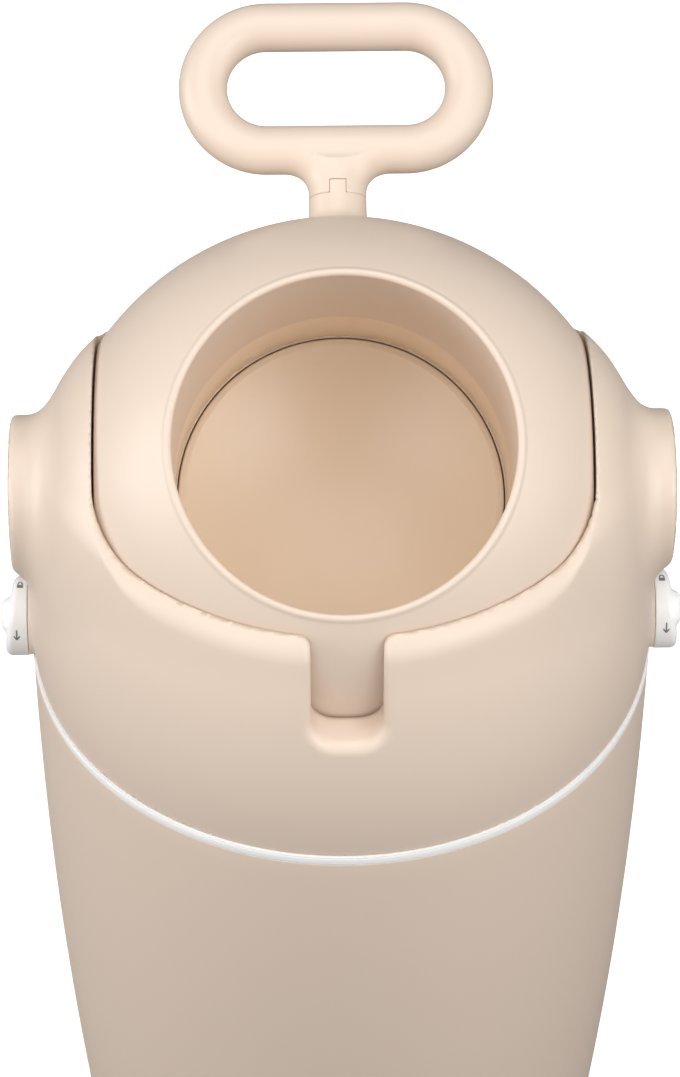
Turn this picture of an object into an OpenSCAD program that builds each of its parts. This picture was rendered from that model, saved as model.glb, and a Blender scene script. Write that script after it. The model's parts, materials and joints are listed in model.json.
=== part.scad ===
// Flip-drum nappy bin. A barrel drum with a through tube turns in the head of a tapered bucket.
// A loose piston slides in the tube: turning the drum over drops the piston and pushes the nappy out.
// Millimetres. Origin: centre of the underside, on the floor. +Z up, front towards -Y, drum axis along X.

/* [Bucket] */
// Height of the bucket's rim above the floor
bucket_h = 418; // [380:1:440]
// How far the bucket's widest radius lies inside the head's
bucket_step = 0.5; // [0:0.1:1.5]
// How far below its rim the bucket is widest
bucket_belly_drop = 20; // [10:1:40]
// Radius of the long curve of the bucket's side
bucket_curve_r = 4130; // [3600:10:9000]
// Thickness of the bucket's wall and floor
bucket_wall = 2.8; // [2.2:0.1:3.2]
// Rounding of the bucket's bottom edge
base_round = 12; // [8:1:18]
// Depth of the hollow under the bucket, inside its foot ring
foot_recess = 6; // [3:0.5:10]
// Width of the ring that the bucket stands on
foot_w = 16; // [10:1:30]
// Radius of the flat pad in the middle of the underside
foot_pad_r = 16; // [10:1:24]
// Diameter of the two pegs that the locks hold on to
peg_d = 6; // [4:0.5:7]

/* [Bag ring] */
// Height of the white band seen in the seam
ring_h = 5.7; // [4:0.1:7]
// How far the white band lies inside the head's widest radius
ring_step = 0.6; // [0.4:0.1:2]
// Width of the ring from the white band in to the bag's opening
ring_w = 23.4; // [22:0.1:25]
// Depth of the skirt that the bag is pulled over
ring_skirt = 20; // [10:1:30]
// Thickness of the skirt and of the centring lip
ring_wall = 2.4; // [2:0.1:3]

/* [Head] */
// Height of the drum's axis above the bottom of the head
axis_rise = 106.3; // [102:0.1:112]
// How much larger the head's widest radius is than the drum's
head_over = 26; // [25.5:0.1:27]
// How far below the drum's axis the head is widest
head_belly_drop = 75; // [65:1:85]
// Radius of the curve of the head's side, from seam to window
head_curve_r = 270; // [255:1:300]
// Thickness of the head's wall
head_wall = 3; // [2.5:0.1:3.4]
// Height of the window's front and back edges above the drum's axis
window_rise = 34; // [32:0.5:36]
// Gap between each end of the drum and the flat side of the window
side_gap = 1.6; // [1.4:0.1:2.5]
// Rounding of the window's front and back lips
lip_round = 4.5; // [3:0.5:5.5]
// Running gap between the drum's barrel and the head
drum_gap = 1.2; // [1:0.1:1.6]

/* [Hubs] */
// Outer radius of each side hub
hub_r = 42; // [40:0.5:44]
// How far each hub's end face stands out of the head's widest radius
hub_proud = 6; // [4:0.5:10]
// Radius of the shoulder curve between window and hub
shoulder_r = 51.5; // [50:0.5:53]
// Distance from the window's flat side in to the centre of the shoulder curve
shoulder_in = 28.5; // [27:0.1:30]
// Height of the centre of the shoulder curve off the axis
shoulder_off = 39; // [38:0.5:40]
// Fillet between shoulder and hub
hub_fillet_r = 16; // [14:0.5:18]
// Rounding of the hub's end edge
hub_round = 3; // [2:0.5:4]

/* [Handle slots] */
// Width of the slots in the head that the handle's stem drops into
slot_w = 37.6; // [36:0.2:40]
// Depth of the slots below the drum's axis
slot_drop = 19; // [18:0.5:22]
// Rounding of the slots' bottom corners
slot_corner_r = 10; // [8:0.5:12]

/* [Chute] */
// Height of the seal above the bottom of the head
seal_rise = 1.2; // [1:0.1:2.5]
// How much larger the seal ring's outer radius is than the tube's inner radius
seal_over = 27.5; // [27:0.1:28.5]
// Height of the seal ring
seal_h = 6; // [5:0.5:7]
// Gap between the seal and the drum
seal_gap = 0.6; // [0.6:0.1:0.9]
// Thickness of the chute's plate
chute_t = 2.5; // [2:0.1:3]
// Number of screws that hold the chute to the head
chute_screws = 6; // [4:2:8]
// Distance of the chute screws in from the head's widest radius
chute_screw_in = 13; // [12:0.5:14]

/* [Drum] */
// How much larger the barrel's radius in the middle is than the tube's inner radius
drum_over = 57.5; // [56.5:0.1:58]
// How much larger the radius of the barrel's outline is than its radius in the middle
drum_curve_over = 12.2; // [11.5:0.1:13]
// How far each end of the barrel lies outside the tube's inner radius
drum_end_over = 40.5; // [40:0.1:41]
// Thickness of the drum's walls
drum_wall = 2.8; // [2.4:0.1:3.2]
// Tilt of the handle above level, at rest
drum_tilt = 35; // [30:1:50]

/* [Tube and mouths] */
// Inner radius of the tube that the piston slides in
tube_r = 90.5; // [90:0.1:91]
// Thickness of the tube's wall
tube_wall = 3; // [2.6:0.1:3.2]
// How far the lip at each mouth reaches into the tube, to keep the piston in
mouth_lip = 2.5; // [1.9:0.1:4]
// Distance of the lips' inner faces in from the barrel's radius
lip_in = 35; // [34.5:0.1:37]
// How far the mouth's rim stands out of the barrel
rim_proud = 0.5; // [0.3:0.1:0.7]
// Width of the mouth's raised rim
rim_w = 4.5; // [3.5:0.1:5]
// Half the length of the middle sleeve of the tube
sleeve_half = 23; // [18:0.5:28]
// Gap between the ends of the sleeve and the necks
sleeve_gap = 0.3; // [0.2:0.1:0.8]

/* [Handle] */
// Overall width of the handle's loop
loop_w = 175; // [160:1:190]
// Overall height of the handle's loop
loop_h = 98; // [90:1:110]
// Diameter of the loop's round bar
loop_d = 27; // [25:0.5:29]
// Distance of the loop's near side from the barrel
loop_gap = 30; // [29:0.5:36]
// Diameter of the handle's stem
stem_d = 32; // [30:0.5:34]
// Length of the drum's stub, from the barrel to the seam with the handle
stub_len = 15; // [12:0.5:17]
// Width of the key in the handle's seam
key_w = 9; // [6:0.5:11]
// Height of the key in the handle's seam
key_h = 7.6; // [5:0.2:9]

/* [Piston] */
// Length of the piston
piston_len = 90; // [84:1:100]
// Gap between the piston's skirt and the tube
piston_gap = 1.3; // [1:0.1:1.6]
// Thickness of the piston's wall
piston_wall = 2.6; // [2:0.1:3]
// Depth of the dish in each face of the piston
dish_depth = 22; // [14:1:28]

/* [Locks] */
// How far the locks' axis lies below the drum's axis
lock_drop = 95; // [94:0.5:97]
// Diameter of a lock's knob
knob_d = 45; // [40:0.5:48]
// Thickness of the knob's base
knob_base_t = 9; // [6:0.5:10]
// Height of the knob's grip above the head
knob_grip_t = 15.2; // [12:0.2:17]
// Width of the knob's grip
knob_grip_w = 21; // [16:0.5:24]
// Tilt of the knob's grip above level when the lock is shut
knob_tilt = 45; // [0:5:90]
// Distance from the lock's axis to the bucket's peg
peg_throw = 25; // [24:0.5:26]
// Width of the hook's finger
finger_w = 4.2; // [3:0.2:5]

/* [Hidden] */

// Radii that follow one another outwards from the tube
mouth_r = tube_r - mouth_lip;
drum_r = tube_r + drum_over;
drum_curve_r = drum_r + drum_curve_over;
drum_half_w = tube_r + drum_end_over;
lip_q = drum_r - lip_in;
head_r = drum_r + head_over;
bucket_r = head_r - bucket_step;
ring_r = head_r - ring_step;
ring_hole_r = ring_r - ring_w;
seal_r = tube_r + seal_over;
window_half_w = drum_half_w + side_gap;
shoulder_x = window_half_w - shoulder_in;
hub_end_x = head_r + hub_proud;
stub_r = drum_r + stub_len;
loop_start = drum_r + loop_gap;

$fn = 96;
beige = "#E6D3C1";
inner_beige = "#D8C3AE";
white = "#F2F2F0";
seal_grey = "#B9B4AC";
steel = "#B8BABD";
eps = 0.01;
far = 400;
fit_gap = 0.1;       // between pieces that are fitted together and don't move
run_gap = 0.05;      // radial clearance of a shaft in its bush
face_gap = 0.3;      // between faces that slide past each other
side_steps = 14;
head_steps = 8;
drum_steps = 18;
round_steps = 5;

// Heights of the stack, from the seam up
bucket_belly_z = bucket_h - bucket_belly_drop;
head_z = bucket_h + ring_h;
axis_z = head_z + axis_rise;
window_z = axis_z + window_rise;
head_belly_z = axis_z - head_belly_drop;

// Radius on a curve of radius curve_r that is widest, r_max, at z_max
function arc_r(r_max, curve_r, z_max, z) = r_max - curve_r + sqrt(pow(curve_r, 2) - pow(z - z_max, 2));
function bucket_side(z) = arc_r(bucket_r, bucket_curve_r, bucket_belly_z, z);
function head_side(z) = arc_r(head_r, head_curve_r, head_belly_z, z);
function drum_side(x) = arc_r(drum_r, drum_curve_r, 0, x);
// Numbers from low to high in equal steps
function steps(low, high, n) = [for (i = [0:n]) low + (high - low) * i / n];
// Points along an arc about [cx, cy]
function arc_points(cx, cy, r, from, to, n) = [for (a = steps(from, to, n)) [cx + r * cos(a), cy + r * sin(a)]];
function flipped(points) = [for (i = [len(points) - 1:-1:0]) points[i]];

// The drum's own frame: local Z is the mouth's axis, local +Y points along the handle
module in_drum() { translate([0, 0, axis_z]) rotate([drum_tilt, 0, 0]) children(); }
// Turns a revolved shape from the Z axis to the X axis
module along_x() { rotate([0, 90, 0]) children(); }
// Side -1 is the left of the object, side 1 the right
module on_side(side) { mirror([side < 0 ? 1 : 0, 0, 0]) children(); }
module both_sides() { for (side = [-1, 1]) on_side(side) children(); }
module ring(r_in, r_out, z0, z1) {
    translate([0, 0, z0]) difference() {
        cylinder(r = r_out, h = z1 - z0);
        translate([0, 0, -eps]) cylinder(r = r_in, h = z1 - z0 + 2 * eps);
    }
}

// ---- Bucket ----
bucket_foot_r = bucket_side(base_round);
foot_in_r = bucket_foot_r - base_round - foot_w;
peg_z = axis_z - lock_drop - peg_throw;
hook_in = 14.5;      // from the head's widest radius in to the inner face of the lock's hook
hook_x = head_r - hook_in;
hook_t = 4;
peg_tip_x = hook_x - 1.5;
side_start = 10;     // height of the first point of the side above the rounding

module bin_body() {
    outer = concat(
        [[0, 0], [foot_pad_r, 0], [foot_pad_r, foot_recess], [foot_in_r, foot_recess], [foot_in_r, 0]],
        arc_points(bucket_foot_r - base_round, base_round, base_round, -90, 0, round_steps),
        [for (z = steps(base_round + side_start, bucket_h, side_steps)) [bucket_side(z), z]]);
    inner_round = base_round - bucket_wall;
    inner = concat(
        [for (z = steps(bucket_h, base_round + side_start, side_steps)) [bucket_side(z) - bucket_wall, z]],
        arc_points(bucket_foot_r - base_round, base_round, inner_round, 0, -90, round_steps),
        [[foot_in_r + bucket_wall, bucket_wall], [foot_in_r + bucket_wall, foot_recess + bucket_wall],
            [0, foot_recess + bucket_wall]]);
    color(beige) {
        rotate_extrude() polygon(concat(outer, inner));
        both_sides() translate([peg_tip_x, 0, peg_z]) along_x()
            cylinder(d = peg_d, h = bucket_side(peg_z) - bucket_wall / 2 - peg_tip_x);
    }
}

// ---- Bag ring ----
ring_lip_r = bucket_side(bucket_h) - bucket_wall - face_gap;
ring_lip_h = 4;
// The gap in the ring and the chute that the locks' hooks swing through
notch_in_r = hook_x - 4;
notch_out_r = hook_x + hook_t + 3.9;
notch_half = 14;     // degrees

module hook_notch(z0, z1) {
    half_y = notch_out_r * sin(notch_half);
    intersection() {
        ring(notch_in_r, notch_out_r, z0, z1);
        translate([0, -half_y, z0 - 1]) cube([far, 2 * half_y, z1 - z0 + 2]);
    }
}

module bag_ring() {
    color(white) difference() {
        union() {
            ring(ring_hole_r, ring_r, bucket_h, head_z);
            ring(ring_hole_r, ring_hole_r + ring_wall, bucket_h - ring_skirt, bucket_h + eps);
            ring(ring_lip_r - ring_wall, ring_lip_r, bucket_h - ring_lip_h, bucket_h + eps);
        }
        both_sides() hook_notch(bucket_h - ring_lip_h - 1, head_z + 1);
    }
}

// ---- Head ----
module drum_body(grow) {
    half = drum_half_w + grow;
    along_x() rotate_extrude() polygon(concat([[0, -half]],
        [for (x = steps(-drum_half_w, drum_half_w, drum_steps)) [drum_side(x) + grow, x * half / drum_half_w]],
        [[0, half]]));
}

module head_body(inset) {
    top = window_z - (inset > 0 ? 0 : lip_round);
    low = head_z - (inset > 0 ? 1 : 0);
    side = [for (z = steps(low, top, head_steps)) [head_side(z) - inset, z]];
    lip = inset > 0 ? [] : arc_points(head_side(top) - lip_round, top, lip_round, 0, 90, round_steps);
    rotate_extrude() polygon(concat([[0, low]], side, lip, [[0, window_z]]));
}

// Outline of a hub and its shoulder, revolved about the drum's axis
fillet_off = hub_r + hub_fillet_r;
fillet_x = shoulder_x + sqrt(pow(shoulder_r + hub_fillet_r, 2) - pow(fillet_off - shoulder_off, 2));
fillet_turn = atan2(fillet_off - shoulder_off, fillet_x - shoulder_x);

module hub_body(inset) {
    start_x = window_half_w;
    end_x = hub_end_x;
    edge = max(hub_round - inset, eps);
    start_turn = acos((start_x - shoulder_x) / (shoulder_r - inset));
    shoulder = arc_points(shoulder_off, shoulder_x, shoulder_r - inset, 90 - start_turn, 90 - fillet_turn, 8);
    fillet = arc_points(fillet_off, fillet_x, hub_fillet_r + inset, 270 - fillet_turn, 180, 6);
    end = arc_points(hub_r - inset - edge, end_x - edge, edge, 0, 90, 4);
    along_x() rotate_extrude() polygon(concat([[0, start_x]], shoulder, fillet, end, [[0, end_x]]));
}

module slot_outline(grow) {
    half = slot_w / 2 + grow;
    corner = slot_corner_r + grow;
    low = -slot_drop - grow;
    for (side = [-1, 1]) translate([side * (half - corner), low + corner]) circle(r = corner);
    translate([-half, low + corner]) square([2 * half, window_rise - low - corner + 1]);
    translate([-(half - corner), low]) square([2 * (half - corner), corner + 1]);
}

// A bar of the slot's outline that runs front to back through the whole head
module slot_bar(grow) {
    translate([0, far / 2, axis_z]) rotate([90, 0, 0]) linear_extrude(height = far) slot_outline(grow);
}

bush_r = 20;         // radius of the axle
bush_t = 4;
boss_l = 17.4;       // length of the boss that holds a bush
boss_end_x = window_half_w + boss_l;
boss_t = 4;
boss_bore_r = bush_r + run_gap + bush_t + fit_gap;
boss_z = head_z + 3.8;
chute_boss_r = 5.2;
chute_boss_h = 18;
screw_r = 2;
lock_z = axis_z - lock_drop;
lock_shaft_r = 6;
lock_pad_x = head_r + 0.6;
lock_pad_t = 5;
chute_screw_pcr = head_r - chute_screw_in;
screw_hole_h = 21;   // depth of the chute screws' holes
lip_depth = 12;      // from the barrel in to the inner side of the window's lips
hub_bore_t = 5;
cap_t = 3;
cap_sink = 0.5;      // how far a cap lies below the hub's end face
cap_skirt = 12;      // from the hub's end face to the inner end of the cap's skirt

module chute_screw_places() {
    for (i = [0:chute_screws - 1]) rotate([0, 0, (i + 0.5) * 360 / chute_screws])
        translate([chute_screw_pcr, 0, 0]) children();
}

module head_shell() {
    color(beige) difference() {
        union() {
            difference() {
                union() {
                    head_body(0);
                    both_sides() translate([0, 0, axis_z]) hub_body(0);
                }
                head_body(head_wall);
                both_sides() translate([0, 0, axis_z]) hub_body(head_wall);
            }
            // Lips of the window and the troughs that the handle's stem rests in
            intersection() {
                head_body(0);
                union() {
                    ring(drum_r - lip_depth, head_r, window_z - lip_round - 2, window_z);
                    slot_bar(head_wall);
                }
                translate([-window_half_w, -far / 2, head_z]) cube([2 * window_half_w, far, far]);
            }
            // Side walls beside the drum, with the bosses that hold the axle's bushes
            both_sides() translate([0, 0, axis_z]) {
                intersection() {
                    hub_body(0);
                    translate([window_half_w, -far / 2, -far / 2]) cube([head_wall, far, far]);
                }
                along_x() cylinder(r = boss_bore_r + boss_t, h = boss_end_x);
            }
            // Bosses for the chute's screws, each tied to the side by a rib
            chute_screw_places() translate([0, 0, boss_z + chute_t]) {
                cylinder(r = chute_boss_r, h = chute_boss_h);
                translate([0, -head_wall / 2, 0])
                    cube([head_side(head_belly_z) - chute_screw_pcr - head_wall / 2, head_wall, chute_boss_h]);
            }
            // Flat pads behind the lock knobs
            both_sides() intersection() {
                translate([lock_pad_x - lock_pad_t, 0, lock_z]) along_x()
                    cylinder(d = knob_d + 1, h = lock_pad_t);
                translate([0, -far / 2, head_z]) cube([far, far, far]);
            }
        }
        translate([0, 0, axis_z]) drum_body(drum_gap);
        translate([-window_half_w, -far / 2, window_z]) cube([2 * window_half_w, far, far / 2]);
        slot_bar(0);
        both_sides() translate([0, 0, axis_z]) along_x() cylinder(r = boss_bore_r, h = boss_end_x + 1);
        both_sides() translate([hub_end_x - hub_bore_t, 0, axis_z]) along_x()
            cylinder(r = hub_r - head_wall, h = hub_bore_t + 1);
        both_sides() translate([0, 0, lock_z]) along_x() cylinder(r = lock_shaft_r + run_gap, h = far / 2);
        chute_screw_places() translate([0, 0, head_z]) cylinder(r = screw_r, h = screw_hole_h);
    }
}

module axle_bush(side) {
    color(white) on_side(side) translate([0, 0, axis_z]) along_x() {
        ring(bush_r + run_gap, boss_bore_r - fit_gap, window_half_w, boss_end_x);
        ring(bush_r + run_gap, boss_bore_r + boss_t - 1, boss_end_x, boss_end_x + 2);
    }
}

module hub_cap(side) {
    cap_r = hub_r - head_wall - fit_gap;
    color(beige) on_side(side) translate([0, 0, axis_z]) along_x() {
        translate([0, 0, hub_end_x - cap_t - cap_sink]) cylinder(r = cap_r, h = cap_t);
        ring(cap_r - 2, cap_r, hub_end_x - cap_skirt, hub_end_x - cap_t - cap_sink + eps);
    }
}

// ---- Chute ----
pan_r = ring_hole_r - 3;
seat_z = head_z + seal_rise;
seat_in_r = seal_r - 4.5;
collar_rise = 2;     // how far the collar round the seal stands above it

module drop_chute() {
    collar_r = seal_r + fit_gap;
    flange_r = head_side(boss_z) - head_wall - face_gap;
    low = seat_z - chute_t;
    color(inner_beige) difference() {
        rotate_extrude() polygon([[seat_in_r, low], [pan_r, low], [pan_r, boss_z], [flange_r, boss_z],
            [flange_r, boss_z + chute_t], [pan_r - chute_t, boss_z + chute_t], [pan_r - chute_t, seat_z],
            [collar_r + chute_t, seat_z], [collar_r + chute_t, seat_z + seal_h + collar_rise],
            [collar_r, seat_z + seal_h + collar_rise], [collar_r, seat_z], [seat_in_r, seat_z]]);
        translate([0, 0, axis_z]) drum_body(drum_gap);
        both_sides() intersection() {
            ring(notch_in_r - 1, far / 2, low, boss_z + chute_t + 1);
            translate([0, -notch_out_r * sin(notch_half), low])
                cube([far, 2 * notch_out_r * sin(notch_half), far]);
        }
        chute_screw_places() translate([0, 0, low]) cylinder(r = screw_r + fit_gap, h = 20);
    }
}

module chute_seal() {
    color(seal_grey) difference() {
        ring(seat_in_r + 0.5, seal_r, seat_z, seat_z + seal_h);
        translate([0, 0, axis_z]) drum_body(rim_proud + seal_gap);
    }
}

module screw(head_r, head_h, shank_r, shank_l) {
    difference() {
        union() {
            translate([0, 0, -head_h]) cylinder(r = head_r, h = head_h);
            cylinder(r = shank_r, h = shank_l);
        }
        translate([0, 0, -head_h - eps]) cylinder(r = shank_r * 0.6, h = head_h * 0.6, $fn = 6);
    }
}

module head_screws() {
    color(steel) chute_screw_places() translate([0, 0, boss_z])
        screw(4, 2.2, screw_r - fit_gap / 2, 16);
}

// ---- Drum ----
tube_out_r = tube_r + tube_wall;
sleeve_out_r = tube_out_r;
collar_in_r = sleeve_out_r + 0.2;
collar_out_r = collar_in_r + 2.8;
collar_low = sleeve_half - 11;
rim_out_r = mouth_r + rim_w;
flange_w = 4.5;
flange_t = 2.2;
socket_in_r = bush_r + fit_gap;
socket_out_r = socket_in_r + 5;
socket_x = drum_half_w - 19;
socket_floor = 3;
axle_floor = 4;
axle_key_w = 4;
axle_key_h = 2.4;
nut_x = socket_x - 7.5;
nut_w = 10;
nut_t = 5;
axle_screw_r = 3;
well_x = drum_half_w - 19;
well_y = 38;
well_r = 4.6;
well_wall = 2;
well_top = -12;
rib_h = 18;
tang_r = 11;
key_in_r = tang_r + 0.5;
tang_low = drum_r - 28;
tang_collar_r = 15;
tang_collar_y = tang_low + 6;
tang_collar_t = 5;

module drum_screw_places() {
    for (x = [-well_x, well_x], y = [-well_y, well_y]) translate([x, y, 0]) children();
}

// Everything that one half of the drum shares with the other, in the drum's own frame
module drum_structure() {
    difference() {
        drum_body(0);
        drum_body(-drum_wall);
        cylinder(r = rim_out_r + fit_gap, h = far, center = true);
    }
    intersection() {
        drum_body(0);
        union() {
            both_sides() {
                translate([socket_x, 0, 0]) along_x() cylinder(r = socket_out_r, h = drum_half_w - socket_x);
                translate([collar_out_r - 1, 0, 0]) along_x()
                    cylinder(r = nut_w / 2 + 5.5, h = socket_x - collar_out_r + 1 + eps);
                // Rib from socket to screw bosses
                translate([socket_x, -well_y, -rib_h]) cube([socket_floor, 2 * well_y, 2 * rib_h]);
            }
            drum_screw_places() {
                cylinder(r = well_r + well_wall, h = rib_h);
                translate([0, 0, -far / 2]) cylinder(r = well_r + well_wall, h = far / 2);
            }
            translate([0, tang_low - 4, 0]) rotate([-90, 0, 0]) cylinder(r = stem_d / 2 + 3, h = 40);
        }
    }
    // The stub that the handle is set on
    translate([0, tang_low, 0]) rotate([-90, 0, 0]) cylinder(d = stem_d, h = stub_r - tang_low);
}

module drum_openings() {
    both_sides() {
        along_x() translate([0, 0, socket_x + socket_floor]) cylinder(r = socket_in_r, h = 40);
        along_x() cylinder(r = axle_screw_r + 0.3, h = far / 2);
        translate([nut_x - nut_t / 2 - fit_gap, -nut_w / 2 - fit_gap, -nut_w / 2 - fit_gap])
            cube([nut_t + 2 * fit_gap, nut_w + 2 * fit_gap, nut_w + 2 * fit_gap]);
        translate([socket_x + socket_floor, -bush_r - axle_key_h - fit_gap, -axle_key_w / 2 - fit_gap])
            cube([40, 2 * (bush_r + axle_key_h + fit_gap), axle_key_w + 2 * fit_gap]);
    }
    drum_screw_places() {
        translate([0, 0, well_top - far]) cylinder(r = well_r, h = far);
        cylinder(r = screw_r + 0.3, h = 60, center = true);
    }
    rotate([-90, 0, 0]) {
        translate([0, 0, tang_low - 0.5]) cylinder(r = tang_r + fit_gap, h = far);
        translate([0, 0, tang_collar_y - fit_gap])
            cylinder(r = tang_collar_r + fit_gap, h = tang_collar_t + 2 * fit_gap);
    }
}

// Half "a" holds the mouth that faces the user, half "b" the one that faces into the bucket
module drum_shell(turn) {
    color(beige) in_drum() {
        difference() {
            drum_structure();
            drum_openings();
            rotate([turn, 0, 0]) translate([-far / 2, -far / 2, -far]) cube([far, far, far]);
        }
        // Key that stops the handle from turning in the stub
        rotate([turn, 0, 0]) intersection() {
            rotate([turn == 0 ? -90 : 90, 0, 0])
                ring(key_in_r + fit_gap, stem_d / 2, stub_r - 2, stub_r + key_h - face_gap);
            translate([-key_w / 2 + fit_gap, -far / 2, 0]) cube([key_w - 2 * fit_gap, far, far]);
        }
    }
}

// The tube's wall beyond the sleeve, with the rim of one mouth
module mouth_ring(turn) {
    color(beige) in_drum() rotate([turn, 0, 0]) {
        intersection() {
            drum_body(rim_proud);
            rotate_extrude() polygon([[tube_r, sleeve_half + sleeve_gap],
                [collar_in_r, sleeve_half + sleeve_gap], [collar_in_r, collar_low],
                [collar_out_r, collar_low], [collar_out_r, sleeve_half + 12],
                [tube_out_r, sleeve_half + 15], [tube_out_r, lip_q - 12], [rim_out_r, lip_q - 11],
                [rim_out_r, drum_r], [mouth_r, drum_r], [mouth_r, lip_q], [tube_r, lip_q]]);
        }
        // Flange that lies against the inside of the barrel
        difference() {
            intersection() {
                drum_body(-drum_wall - fit_gap);
                ring(rim_out_r - 1, rim_out_r + flange_w, lip_q - 12, drum_r);
            }
            drum_body(-drum_wall - fit_gap - flange_t);
        }
    }
}

module tube_sleeve() {
    color(inner_beige) in_drum() rotate_extrude() polygon([[tube_r + 0.5, -sleeve_half + 1],
        [tube_r + 1.5, -sleeve_half], [sleeve_out_r, -sleeve_half], [sleeve_out_r, sleeve_half],
        [tube_r + 1.5, sleeve_half], [tube_r + 0.5, sleeve_half - 1]]);
}

module drum_axle(side) {
    inner_x = socket_x + socket_floor + fit_gap;
    flange_x = boss_end_x + 2 + face_gap;
    color(white) in_drum() on_side(side) {
        difference() {
            along_x() {
                translate([0, 0, inner_x]) cylinder(r = bush_r, h = flange_x + 3 - inner_x);
                translate([0, 0, flange_x]) cylinder(r = bush_r + bush_t + 2, h = 3);
            }
            along_x() translate([0, 0, inner_x + axle_floor]) cylinder(r = bush_r - 6, h = 60);
            along_x() cylinder(r = axle_screw_r + fit_gap, h = far / 2);
        }
        for (turn = [0, 180]) rotate([turn, 0, 0])
            translate([inner_x + 0.3, bush_r - 1, -axle_key_w / 2])
                cube([drum_half_w - inner_x - 1, 1 + axle_key_h, axle_key_w]);
    }
}

module axle_screws() {
    head_x = socket_x + socket_floor + fit_gap + axle_floor;
    color(steel) in_drum() both_sides() translate([head_x, 0, 0]) rotate([0, -90, 0])
        screw(5.5, 3.5, axle_screw_r - fit_gap / 2, 17);
}

module axle_nuts() {
    color(steel) in_drum() both_sides() difference() {
        translate([nut_x - nut_t / 2, -nut_w / 2, -nut_w / 2]) cube([nut_t, nut_w, nut_w]);
        along_x() cylinder(r = axle_screw_r, h = far / 2);
    }
}

module drum_screws() {
    color(steel) in_drum() drum_screw_places() translate([0, 0, well_top])
        screw(4, 2.4, screw_r, 28);
}

// ---- Handle ----
bar_r = loop_d / 2;
end_r = (loop_h - loop_d) / 2;
bar_half = (loop_w - loop_d) / 2 - end_r;
loop_y = loop_start + loop_h / 2;

module handle_loop() {
    for (y = [-end_r, end_r]) translate([-bar_half, loop_y + y, 0]) along_x()
        cylinder(r = bar_r, h = 2 * bar_half);
    for (side = [-1, 1]) translate([side * bar_half, loop_y, 0]) rotate([0, 0, side < 0 ? 90 : -90])
        rotate_extrude(angle = 180) translate([end_r, 0]) circle(r = bar_r);
}

// Stem with a flare into the loop's lower bar, tapered front and back to the bar's thickness
module handle_stem() {
    flare_r = 12;
    flare_y = loop_start + bar_r - flare_r;
    flat_half = bar_r - 0.6;
    intersection() {
        rotate([-90, 0, 0]) rotate_extrude() polygon(concat([[0, stub_r], [stem_d / 2, stub_r]],
            arc_points(stem_d / 2 + flare_r, flare_y, flare_r, 180, 90, 6), [[0, flare_y + flare_r]]));
        translate([-far / 2, 0, 0]) rotate([90, 0, 90]) linear_extrude(height = far) polygon([
            [0, -stem_d], [loop_start - 6, -stem_d / 2 - 0.5], [loop_start + 8, -flat_half], [far, -flat_half],
            [far, flat_half], [loop_start + 8, flat_half], [loop_start - 6, stem_d / 2 + 0.5], [0, stem_d]]);
    }
}

module handle() {
    color(beige) in_drum() {
        handle_loop();
        difference() {
            handle_stem();
            intersection() {
                rotate([-90, 0, 0]) ring(key_in_r, stem_d, stub_r - 1, stub_r + key_h);
                translate([-key_w / 2, 0, -far / 2]) cube([key_w, far, far]);
            }
        }
        rotate([-90, 0, 0]) {
            translate([0, 0, tang_low]) cylinder(r = tang_r, h = stub_r - tang_low + 2);
            translate([0, 0, tang_collar_y]) cylinder(r = tang_collar_r, h = tang_collar_t);
        }
    }
}

// ---- Piston ----
piston_half = piston_len / 2;
piston_q = -(lip_q - fit_gap - piston_half);
skirt_r = tube_r - piston_gap;
seal_z = piston_half - 9;
piston_seal_h = 4;
groove_t = 2.2;      // depth of the groove that holds a seal

dish_rim = 4;
dish_r = skirt_r - dish_rim;
ball_r = (pow(dish_r, 2) + pow(dish_depth, 2)) / (2 * dish_depth);
// Height of the dish at radius r, or of its underside when the wall is added to its ball
function dish_z(r, grow) = piston_half - dish_depth + ball_r - sqrt(pow(ball_r + grow, 2) - pow(r, 2));

module in_piston(turn) { in_drum() translate([0, 0, piston_q]) rotate([turn, 0, 0]) children(); }

// One half, with its dish facing away from the piston's middle plane
module piston_cup(turn) {
    groove_r = skirt_r - groove_t;
    skirt_in_r = groove_r - piston_wall;
    edge = 1.2;
    dish_flat_r = 8;
    color(inner_beige) in_piston(turn) rotate_extrude() polygon(concat(
        [[skirt_in_r, 0], [skirt_r, 0], [skirt_r, seal_z - fit_gap], [groove_r, seal_z - fit_gap],
            [groove_r, seal_z + piston_seal_h + fit_gap], [skirt_r, seal_z + piston_seal_h + fit_gap],
            [skirt_r, piston_half - edge], [skirt_r - edge, piston_half], [dish_r, piston_half]],
        [for (r = steps(dish_r * 0.9, dish_flat_r, 9)) [r, dish_z(r, 0)]],
        [[0, dish_z(dish_flat_r, 0)], [0, dish_z(dish_flat_r, piston_wall)]],
        [for (r = steps(dish_flat_r, skirt_in_r, 9)) [r, dish_z(r, piston_wall)]]));
}

module piston_seal(turn) {
    color(seal_grey) in_piston(turn)
        ring(skirt_r - groove_t + fit_gap, tube_r - face_gap, seal_z, seal_z + piston_seal_h);
}

// ---- Locks ----
knob_r = knob_d / 2;
knob_x = lock_pad_x + face_gap;
grip_in = 1.2;       // from the knob's edge in to the end of its grip

module knob_dome(r, height, round_r) {
    rotate_extrude() polygon(concat([[0, 0], [r, 0]],
        arc_points(r - round_r, height - round_r, round_r, 0, 90, round_steps), [[0, height]]));
}

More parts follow.
